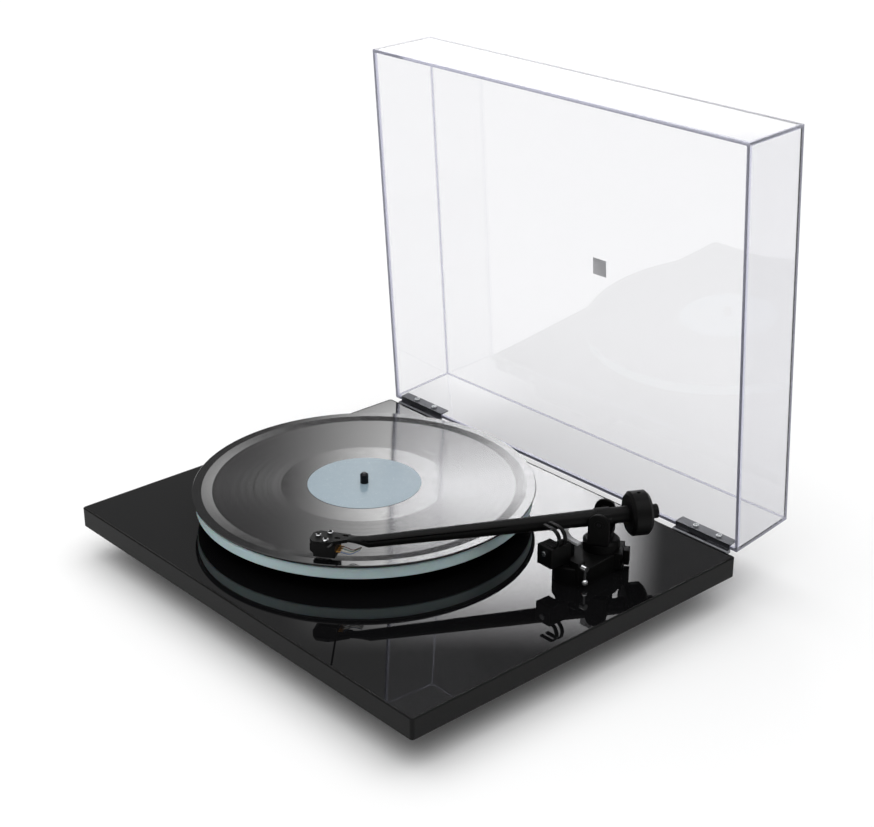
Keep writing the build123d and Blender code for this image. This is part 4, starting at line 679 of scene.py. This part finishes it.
class DECK_OT_record(bpy.types.Operator):
    """Long-playing record and its paper labels"""

    bl_idname = "deck.record"
    bl_label = "Record"

    def execute(self, context):
        """Press the record and lay on its labels."""
        colours = context.scene.deck_colours
        sizes = context.scene.deck_sizes
        self.add_record(colours, sizes)
        self.add_labels(colours, sizes)
        return {"FINISHED"}

    def add_record(self, colours, sizes):
        """Record with a raised bead, tracks parted by smooth gaps, and a smooth run-out."""
        low, high = height_span("record")
        label = sizes.label_radius * 1000
        run_out = sizes.run_out * 1000
        gap = sizes.track_gap * 1000
        hole, rim, edge, seat = 3.65, reach_of("record"), 0.6, 0.15
        bead = rim - sizes.bead_width * 1000
        band = bead - sizes.bead_slope * 1000
        inner = high - sizes.run_out_dip * 1000
        outer = high - sizes.groove_dip * 1000
        pitch = (band - run_out) / sizes.tracks
        starts = [run_out + pitch * i for i in range(sizes.tracks)]
        rings = [(label, inner), (run_out, inner)]
        for start in starts:
            for radius in (start + gap, start + pitch):
                rings.append((radius, inner + (outer - inner) * (radius - run_out) / (band - run_out)))
        rings += [(bead, high), (rim - edge, high)]
        outline = [(hole, high - seat), (label, high - seat)] + crisp(rings)
        outline += [(rim - edge / 3, high - edge / 2), (rim, (low + high) / 2)]
        outline += [(rim - edge / 3, low + edge / 2), (rim - edge, low)]
        outline += [(label, low), (label, low + seat), (hole, low + seat)]
        bm = spun(outline, 256)
        for face in bm.faces:
            radius = spindle_radius(face) * 1000
            flat = face.normal.z > 0.99
            face.material_index = int(not (flat and any(s + gap < radius < s + pitch for s in starts)))
        finishes = [grooved_vinyl(colours), smooth_vinyl(colours)]
        add_piece("record_disc", bm, finishes, "record", sharp=10.0)

    def add_labels(self, colours, sizes):
        """Paper label on each face, the upper one with the pressing ring round its middle."""
        low, high = height_span("record_labels")
        rim = sizes.label_radius * 1000
        hole, sheet, ring, half, dent, edge = 3.65, 0.15, 17.0, 0.3, 0.03, 0.2
        upper = [(hole, high - sheet), (rim, high - sheet), (rim, high - dent), (rim - edge, high)]
        upper += [(ring + 2 * half, high), (ring + half, high - dent), (ring, high), (hole, high)]
        lower = [(hole, low), (rim, low), (rim, low + sheet), (hole, low + sheet)]
        bm = spun(upper, 192)
        under = bpy.data.meshes.new("under_label")
        other = spun(lower, 192)
        other.to_mesh(under)
        other.free()
        bm.from_mesh(under)
        bpy.data.meshes.remove(under)
        add_piece("paper_labels", bm, [label_paper(colours)], "record_labels", sharp=5.0)


class DECK_OT_drive(bpy.types.Operator):
    """Motor, pulley, belt, cover and control board"""

    bl_idname = "deck.drive"
    bl_label = "Drive"

    def execute(self, context):
        """Finish the drive under and beside the platter."""
        colours = context.scene.deck_colours
        sizes = context.scene.deck_sizes
        steel = plain_steel(colours)
        plastic = moulded_plastic(colours)
        dress(steel, sizes.metal_round, "motor_body", "underside_screws")
        paint(steel, "motor_shaft")
        dress(turned_alloy(colours), sizes.metal_round, "motor_pulley")
        dress(moulded_rubber(colours), sizes.metal_round, "drive_belt")
        dress(plastic, sizes.moulding_round, "motor_cover", "power_socket", "signal_lead_gland")
        dress(circuit_board(colours), sizes.metal_round, "motor_control_board")
        return {"FINISHED"}


class DECK_OT_switch(bpy.types.Operator):
    """Power switch under the front corner"""

    bl_idname = "deck.switch"
    bl_label = "Switch"

    def execute(self, context):
        """Finish the switch housing and its rocker."""
        sizes = context.scene.deck_sizes
        plastic = moulded_plastic(context.scene.deck_colours)
        dress(plastic, sizes.moulding_round, "switch_body", "power_switch_rocker")
        return {"FINISHED"}


class DECK_OT_hinges(bpy.types.Operator):
    """Two lid hinges with their pins and screws"""

    bl_idname = "deck.hinges"
    bl_label = "Hinges"

    def execute(self, context):
        """Finish the pressed leaves, pins and screws."""
        colours = context.scene.deck_colours
        sizes = context.scene.deck_sizes
        leaf = satin_leaf(colours)
        for side in ("left", "right"):
            dress(leaf, sizes.metal_round, f"hinge_base_{side}", f"hinge_leaf_{side}")
        dress(leaf, sizes.metal_round, "hinge_pins")
        dress(plain_steel(colours), sizes.metal_round, "hinge_leaf_screws", "hinge_base_screws")
        return {"FINISHED"}


class DECK_OT_lid(bpy.types.Operator):
    """Clear lid and the small plain plate on it"""

    bl_idname = "deck.lid"
    bl_label = "Lid"

    # Smallest face of the lid that is a panel and not part of a corner, in square metres
    PANEL_AREA = 0.002

    # How far a corner may stand in front of an outer panel, and how near a vertex on a cut is to it,
    # both in millimetres
    OUTER_SLACK = 0.1
    CUT_SLACK = 0.01

    def execute(self, context):
        """Finish the lid's panels, its open rim and the plate."""
        colours = context.scene.deck_colours
        self.add_panels(colours, context.scene.deck_sizes)
        plate = turned_alloy(colours, "Satin aluminium plate", colours.badge)
        dress(plate, context.scene.deck_sizes.metal_round, "lid_badge")
        return {"FINISHED"}

    def add_panels(self, colours, sizes):
        """Clear panels, with a painted highlight as a pale line along each corner, and the pale sawn finish
        round the mouth.
        """
        bm = merged_copy("lid_shell")
        soften(bm, sizes.lid_round)
        panels = [face for face in bm.faces if face.calc_area() > self.PANEL_AREA]
        mouth = -max(panels, key=lambda face: face.calc_area()).normal
        outside = []
        for at, out in [(face.calc_center_median(), face.normal.copy()) for face in panels]:
            if max((vert.co - at).dot(out) for vert in bm.verts) < mm(self.OUTER_SLACK):
                outside.append((at, out))
        for at, out in outside:
            bmesh.ops.bisect_plane(
                bm,
                geom=bm.verts[:] + bm.edges[:] + bm.faces[:],
                dist=mm(self.CUT_SLACK),
                plane_co=at - out * sizes.lid_corner_highlight,
                plane_no=out,
            )
        bm.normal_update()
        # Faces close to two outer panels take the pale edge finish as a painted highlight along the corner;
        # the small faces of the mouth take it as the sawn rim
        for face in bm.faces:
            middle = face.calc_center_median()
            close = sum((middle - at).dot(out) > -sizes.lid_corner_highlight for at, out in outside)
            at_mouth = abs(face.normal.dot(mouth)) > 0.9 and face.calc_area() < self.PANEL_AREA
            face.material_index = int(close > 1 or at_mouth)
        finishes = [clear_acrylic(colours), acrylic_rim_highlight(colours)]
        shade_evenly(add_piece("lid_panels", bm, finishes, "lid_shell", sharp=40.0))


class DECK_OT_arm_stand(bpy.types.Operator):
    """Arm base with its rest, lift, cue lever and bias slider"""

    bl_idname = "deck.arm_stand"
    bl_label = "Arm stand"

    def execute(self, context):
        """Finish what carries the arm."""
        colours = context.scene.deck_colours
        sizes = context.scene.deck_sizes
        casting = coated_casting(colours)
        plastic = moulded_plastic(colours)
        steel = plain_steel(colours)
        dress(casting, sizes.casting_round, "arm_base")
        dress(plastic, sizes.moulding_round, "bias_slider", "arm_rest", "lift_damper")
        dress(grey_acetal(colours), sizes.moulding_round, "lift_platform")
        dress(polished_chrome(colours), sizes.metal_round, "cue_lever", "arm_rest_screw")
        dress(steel, sizes.metal_round, "arm_mount_nut")
        paint(steel, "arm_vertical_bearings")
        return {"FINISHED"}


class DECK_OT_arm(bpy.types.Operator):
    """Yoke, bearings, tube and counterweight"""

    bl_idname = "deck.arm"
    bl_label = "Arm"

    def execute(self, context):
        """Finish the moving arm behind the head."""
        colours = context.scene.deck_colours
        sizes = context.scene.deck_sizes
        casting = coated_casting(colours)
        steel = plain_steel(colours)
        black = blackened_steel(colours)
        dress(casting, sizes.casting_round, "arm_yoke", "arm_tube")
        dress(casting, sizes.weight_round, "counterweight")
        dress(casting, sizes.metal_round, "arm_horizontal_bearings", "counterweight_stub")
        dress(casting, 0.0, "finger_lift")
        dress(black, sizes.metal_round, "counterweight_grub_screw", "arm_pivot_pins")
        paint(steel, "arm_vertical_shaft")
        return {"FINISHED"}


class DECK_OT_head(bpy.types.Operator):
    """Cartridge with its screws, stylus and leads"""

    bl_idname = "deck.head"
    bl_label = "Head"

    # Socket in a screw's head: rim round it, lean of its wall and depth, in millimetres
    SOCKET_RIM = 0.95
    SOCKET_LEAN = 0.05
    SOCKET_DEPTH = 0.9

    # Crimped brass sleeve on a cartridge pin, as radii and heights in millimetres
    FLARED_MOUTH = ((0.4, 0.0), (0.85, 0.0), (0.85, 0.7), (0.6, 1.1))
    FOLDED_END = ((0.6, 2.7), (0.75, 3.0), (0.7, 3.5), (0.35, 3.5))

    # Places and steps in the headshell's own directions, in millimetres: forward, to its left, and up from
    # the height of the arm's pivot
    PIN_PLACE = Vector((-19.1, 0.0, -6.8))
    PIN_STEP = Vector((0.0, 3.2, 0.0))
    TUBE_PLACE = Vector((-37.0, -4.75, -6.65))
    TUBE_STEP = Vector((0.0, 1.6, 0.0))
    LEAD_START = Vector((-3.2, 0.0, 0.0))
    LEAD_RUN = Vector((-2.5, 0.0, -0.3))
    LEAD_SAG = Vector((0.0, 0.0, -3.4))

    def execute(self, context):
        """Finish the cartridge and run its four leads."""
        colours = context.scene.deck_colours
        sizes = context.scene.deck_sizes
        plastic = moulded_plastic(colours)
        dress(plastic, sizes.moulding_round, "cartridge_body")
        dress(plastic, sizes.metal_round, "stylus_holder")
        paint(turned_alloy(colours), "stylus_cantilever")
        self.add_screws(colours, sizes)
        self.add_leads(colours, sizes)
        return {"FINISHED"}

    def add_screws(self, colours, sizes):
        """Bright screws with a socket in each head, whose walls and floor take black plastic as painted
        shade.
        """
        bm = merged_copy("cartridge_screws")
        soften(bm, sizes.metal_round)
        top = max(vert.co.z for vert in bm.verts) - mm(0.01)
        heads = [face for face in bm.faces if face.normal.z > 0.99 and face.calc_center_median().z > top]
        bmesh.ops.inset_individual(
            bm, faces=heads, thickness=mm(self.SOCKET_RIM), depth=0.0, use_even_offset=True
        )
        walls = bmesh.ops.inset_individual(
            bm,
            faces=heads,
            thickness=mm(self.SOCKET_LEAN),
            depth=-mm(self.SOCKET_DEPTH),
            use_even_offset=True,
        )
        # Painted shade: the sockets' walls and floors take black plastic, though the screws are chrome
        # throughout
        for face in heads + walls["faces"]:
            face.material_index = 1
        finishes = [polished_chrome(colours), moulded_plastic(colours)]
        add_piece("cartridge_screw_heads", bm, finishes, "cartridge_screws", sharp=40.0)

    def head_frame(self):
        """Place and turn of the headshell: above the stylus tip, at the height of the arm's pivot."""
        verts = frame["nodes"]["stylus_cantilever"].data.vertices
        tip = min((vert.co for vert in verts), key=lambda co: co.z)
        reach = tip - ARM_PIVOT
        turn = Matrix.Rotation(math.atan2(reach.y, reach.x) - math.radians(HEAD_OFFSET), 4, "Z")
        return Matrix.Translation((tip.x, tip.y, ARM_PIVOT.z)) @ turn

    def add_leads(self, colours, sizes):
        """Four leads that sag from the cartridge's rear to the underside of the tube."""
        head = self.head_frame()
        covers = (
            ("lead_red", colours.lead_red),
            ("lead_green", colours.lead_green),
            ("lead_white", colours.lead_white),
            ("lead_blue", colours.lead_blue),
        )
        backward = Matrix.Rotation(math.radians(-90), 4, "Y")
        for step, (name, value) in zip((-1.5, -0.5, 0.5, 1.5), covers):
            pin = self.PIN_PLACE + self.PIN_STEP * step
            bm = spun(self.FLARED_MOUTH + self.FOLDED_END, 20, Vector())
            bm.transform(head @ Matrix.Translation(pin / 1000.0) @ backward)
            add_piece(f"{name}_sleeve", bm, [turned_brass(colours)], "headshell_leads", sharp=30.0)
            start = pin + self.LEAD_START
            end = self.TUBE_PLACE + self.TUBE_STEP * step
            low = (start + end) / 2 + self.LEAD_SAG
            route = [start, start + self.LEAD_RUN, low, end.lerp(low, 0.4), end]
            places = [head @ (place / 1000.0) for place in route]
            self.add_lead(name, places, sizes.lead_thickness, lead_cover(f"{name}_cover", value))

    def add_lead(self, name, places, thickness, cover):
        """One lead on a smooth line that its places guide."""
        curve = bpy.data.curves.new(name, "CURVE")
        curve.dimensions = "3D"
        curve.bevel_depth = thickness / 2
        curve.bevel_resolution = 3
        curve.use_fill_caps = True
        spline = curve.splines.new("NURBS")
        spline.points.add(len(places) - 1)
        for point, place in zip(spline.points, places):
            point.co = place.to_4d()
        spline.order_u = 3
        spline.use_endpoint_u = True
        curve.materials.append(cover)
        lead = bpy.data.objects.new(name, curve)
        bpy.context.scene.collection.objects.link(lead)
        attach(lead, "arm")
        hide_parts("headshell_leads")


class DECK_OT_stage(bpy.types.Operator):
    """Pale floor, soft studio light and the photograph's camera"""

    bl_idname = "deck.stage"
    bl_label = "Stage"

    # Half the side of the floor, in metres, and how pale it looks: what it gives back and what it adds
    FLOOR_REACH = 8.0
    FLOOR_SHADE = 0.93
    FLOOR_GLOW = 0.02

    # Light from low down and from overhead, and the heights between which it changes, in degrees
    LOW_LIGHT = 0.22
    HIGH_LIGHT = 1.9
    LIGHT_RISE = (31.0, 58.0)

    # Bright areas of the studio: a panel that the gloss mirrors, and a soft glow lower down behind the lid.
    # Each has its strength, then where it begins, is full, fades and ends, in degrees of heading and height
    BRIGHT_AREAS = (
        (8.4, (129.8, 133.2, 137.5, 144.5), (22.0, 26.0, 28.5, 32.0)),
        (2.2, (112.0, 122.0, 146.0, 156.0), (2.0, 6.0, 15.0, 20.0)),
    )

    # Heading of the studio's rear and how far it spreads to each side, in degrees
    REAR_HEADING = 138.0
    REAR_SPREAD = 40.0

    def execute(self, context):
        """Set the stage."""
        scene = context.scene
        scene.view_settings.view_transform = "Standard"
        self.add_camera(scene)
        self.add_floor(scene, scene.deck_colours)
        self.add_studio(scene)
        return {"FINISHED"}

    def add_camera(self, scene):
        """Camera where the photograph was taken from."""
        right = Vector((0, 0, 1)).cross(CAMERA_BACK).normalized()
        above = CAMERA_BACK.cross(right).normalized()
        facing = Matrix((right, above, CAMERA_BACK.normalized())).transposed()
        data = bpy.data.cameras.new("studio_camera")
        data.sensor_fit = "HORIZONTAL"
        data.sensor_width = CAMERA_SENSOR
        data.lens = CAMERA_LENS
        camera = bpy.data.objects.new("studio_camera", data)
        turned = facing @ Matrix.Rotation(math.radians(CAMERA_ROLL), 3, "Z")
        camera.matrix_world = Matrix.Translation(CAMERA_PLACE) @ turned.to_4x4()
        scene.collection.objects.link(camera)
        scene.camera = camera

    def add_floor(self, scene, colours):
        """Floor that is white to the eye and keeps the deck's shadow."""
        bm = bmesh.new()
        bmesh.ops.create_grid(bm, x_segments=1, y_segments=1, size=self.FLOOR_REACH)
        mesh = bpy.data.meshes.new("studio_floor")
        bm.to_mesh(mesh)
        bm.free()
        made = bpy.data.materials.new("White studio paper")
        made.use_nodes = True
        tree = made.node_tree
        tree.nodes.clear()
        path = add_node(tree, "ShaderNodeLightPath")
        either = add_node(
            tree,
            "ShaderNodeMath",
            {"operation": "MAXIMUM"},
            {0: path.outputs["Is Camera Ray"], 1: path.outputs["Is Transmission Ray"]},
        )
        seen = add_node(
            tree,
            "ShaderNodeMath",
            {"operation": "MAXIMUM"},
            {0: either.outputs[0], 1: path.outputs["Is Glossy Ray"]},
        )
        paper = add_node(tree, "ShaderNodeBsdfDiffuse", {"Color": colours.floor})
        lit = add_node(tree, "ShaderNodeBsdfDiffuse", {"Color": (*[self.FLOOR_SHADE] * 3, 1.0)})
        glow = add_node(tree, "ShaderNodeEmission", {"Strength": self.FLOOR_GLOW})
        white = add_node(tree, "ShaderNodeAddShader", links={0: lit.outputs[0], 1: glow.outputs[0]})
        mix = add_node(
            tree,
            "ShaderNodeMixShader",
            links={0: seen.outputs[0], 1: paper.outputs[0], 2: white.outputs[0]},
        )
        add_node(tree, "ShaderNodeOutputMaterial", links={"Surface": mix.outputs[0]})
        mesh.materials.append(made)
        floor = bpy.data.objects.new("studio_floor", mesh)
        scene.collection.objects.link(floor)

    def add_studio(self, scene):
        """Soft light from above, and bright areas low at the rear."""
        world = bpy.data.worlds.new("Studio")
        world.use_nodes = True
        tree = world.node_tree
        tree.nodes.clear()
        where = add_node(tree, "ShaderNodeTexCoord")
        parts = add_node(tree, "ShaderNodeSeparateXYZ", links={0: where.outputs["Generated"]})
        rise = add_node(tree, "ShaderNodeMath", {"operation": "ARCSINE"}, {0: parts.outputs["Z"]})
        heading = add_node(
            tree,
            "ShaderNodeMath",
            {"operation": "ARCTAN2"},
            {0: parts.outputs["Y"], 1: parts.outputs["X"]},
        )
        level = add_node(
            tree,
            "ShaderNodeMapRange",
            {
                "interpolation_type": "SMOOTHSTEP",
                "From Min": math.radians(self.LIGHT_RISE[0]),
                "From Max": math.radians(self.LIGHT_RISE[1]),
                "To Min": self.LOW_LIGHT,
                "To Max": self.HIGH_LIGHT,
            },
            {"Value": rise.outputs[0]},
        )
        total = level
        for strength, across, upward in self.BRIGHT_AREAS:
            steps = [(heading, *across[:2], 0, 1), (heading, *across[2:], 1, 0)]
            steps += [(rise, *upward[:2], 0, 1), (rise, *upward[2:], 1, 0)]
            lit = None
            for source, first, last, before, after in steps:
                edge = add_node(
                    tree,
                    "ShaderNodeMapRange",
                    {
                        "interpolation_type": "SMOOTHSTEP",
                        "From Min": math.radians(first),
                        "From Max": math.radians(last),
                        "To Min": before,
                        "To Max": after,
                    },
                    {"Value": source.outputs[0]},
                )
                links = {0: edge.outputs[0], 1: lit.outputs[0]} if lit else {0: edge.outputs[0]}
                lit = add_node(tree, "ShaderNodeMath", {"operation": "MULTIPLY", 1: 1.0}, links)
            total = add_node(
                tree,
                "ShaderNodeMath",
                {"operation": "MULTIPLY_ADD", 1: strength},
                {0: lit.outputs[0], 2: total.outputs[0]},
            )
        pure = (1.0, 1.0, 1.0, 1.0)
        studio = add_node(tree, "ShaderNodeBackground", {"Color": pure}, {"Strength": total.outputs[0]})
        white = add_node(tree, "ShaderNodeBackground", {"Color": pure})
        mix = add_node(
            tree,
            "ShaderNodeMixShader",
            links={0: self.plain_view(tree, heading), 1: studio.outputs[0], 2: white.outputs[0]},
        )
        add_node(tree, "ShaderNodeOutputWorld", links={"Surface": mix.outputs[0]})
        scene.world = world

    def plain_view(self, tree, heading):
        """Socket that is 1 for a view straight or through clear sheet, and 0 in a mirror of the rear."""
        path = add_node(tree, "ShaderNodeLightPath")
        once = add_node(
            tree,
            "ShaderNodeMath",
            {"operation": "COMPARE", 1: 1.0, 2: 0.5},
            {0: path.outputs["Glossy Depth"]},
        )
        rear = add_node(
            tree,
            "ShaderNodeMath",
            {"operation": "COMPARE", 1: math.radians(self.REAR_HEADING), 2: math.radians(self.REAR_SPREAD)},
            {0: heading.outputs[0]},
        )
        mirrored = add_node(
            tree, "ShaderNodeMath", {"operation": "MULTIPLY"}, {0: once.outputs[0], 1: rear.outputs[0]}
        )
        through = add_node(
            tree,
            "ShaderNodeMath",
            {"operation": "SUBTRACT"},
            {0: path.outputs["Is Transmission Ray"], 1: mirrored.outputs[0]},
        )
        seen = add_node(
            tree,
            "ShaderNodeMath",
            {"operation": "MAXIMUM"},
            {0: path.outputs["Is Camera Ray"], 1: through.outputs[0]},
        )
        return seen.outputs[0]


OPERATORS = (
    DECK_OT_stage,
    DECK_OT_plinth,
    DECK_OT_feet,
    DECK_OT_platter,
    DECK_OT_record,
    DECK_OT_drive,
    DECK_OT_switch,
    DECK_OT_hinges,
    DECK_OT_lid,
    DECK_OT_arm_stand,
    DECK_OT_arm,
    DECK_OT_head,
)


class DECK_PT_pieces(bpy.types.Panel):
    """Pieces of the deck, with their sizes and colours"""

    bl_idname = "DECK_PT_pieces"
    bl_label = "Record deck"
    bl_space_type = "VIEW_3D"
    bl_region_type = "UI"
    bl_category = "Record deck"

    def draw(self, context):
        """List the operators, then the sizes and colours."""
        for operator in OPERATORS:
            self.layout.operator(operator.bl_idname)
        for group in (context.scene.deck_sizes, context.scene.deck_colours):
            column = self.layout.column()
            for name in group.__annotations__:
                column.prop(group, name)


CLASSES = (DeckColours, DeckSizes, *OPERATORS, DECK_PT_pieces)


def register():
    """Register the classes and hang the two groups of values on the scene."""
    for item in CLASSES:
        bpy.utils.register_class(item)
    bpy.types.Scene.deck_colours = PointerProperty(type=DeckColours)
    bpy.types.Scene.deck_sizes = PointerProperty(type=DeckSizes)


def unregister():
    """Take the values and classes out again."""
    del bpy.types.Scene.deck_sizes
    del bpy.types.Scene.deck_colours
    for item in reversed(CLASSES):
        bpy.utils.unregister_class(item)


def main():
    """Build every piece in order."""
    register()
    for operator in OPERATORS:
        group, name = operator.bl_idname.split(".")
        getattr(getattr(bpy.ops, group), name)()


if __name__ == "__main__":
    main()
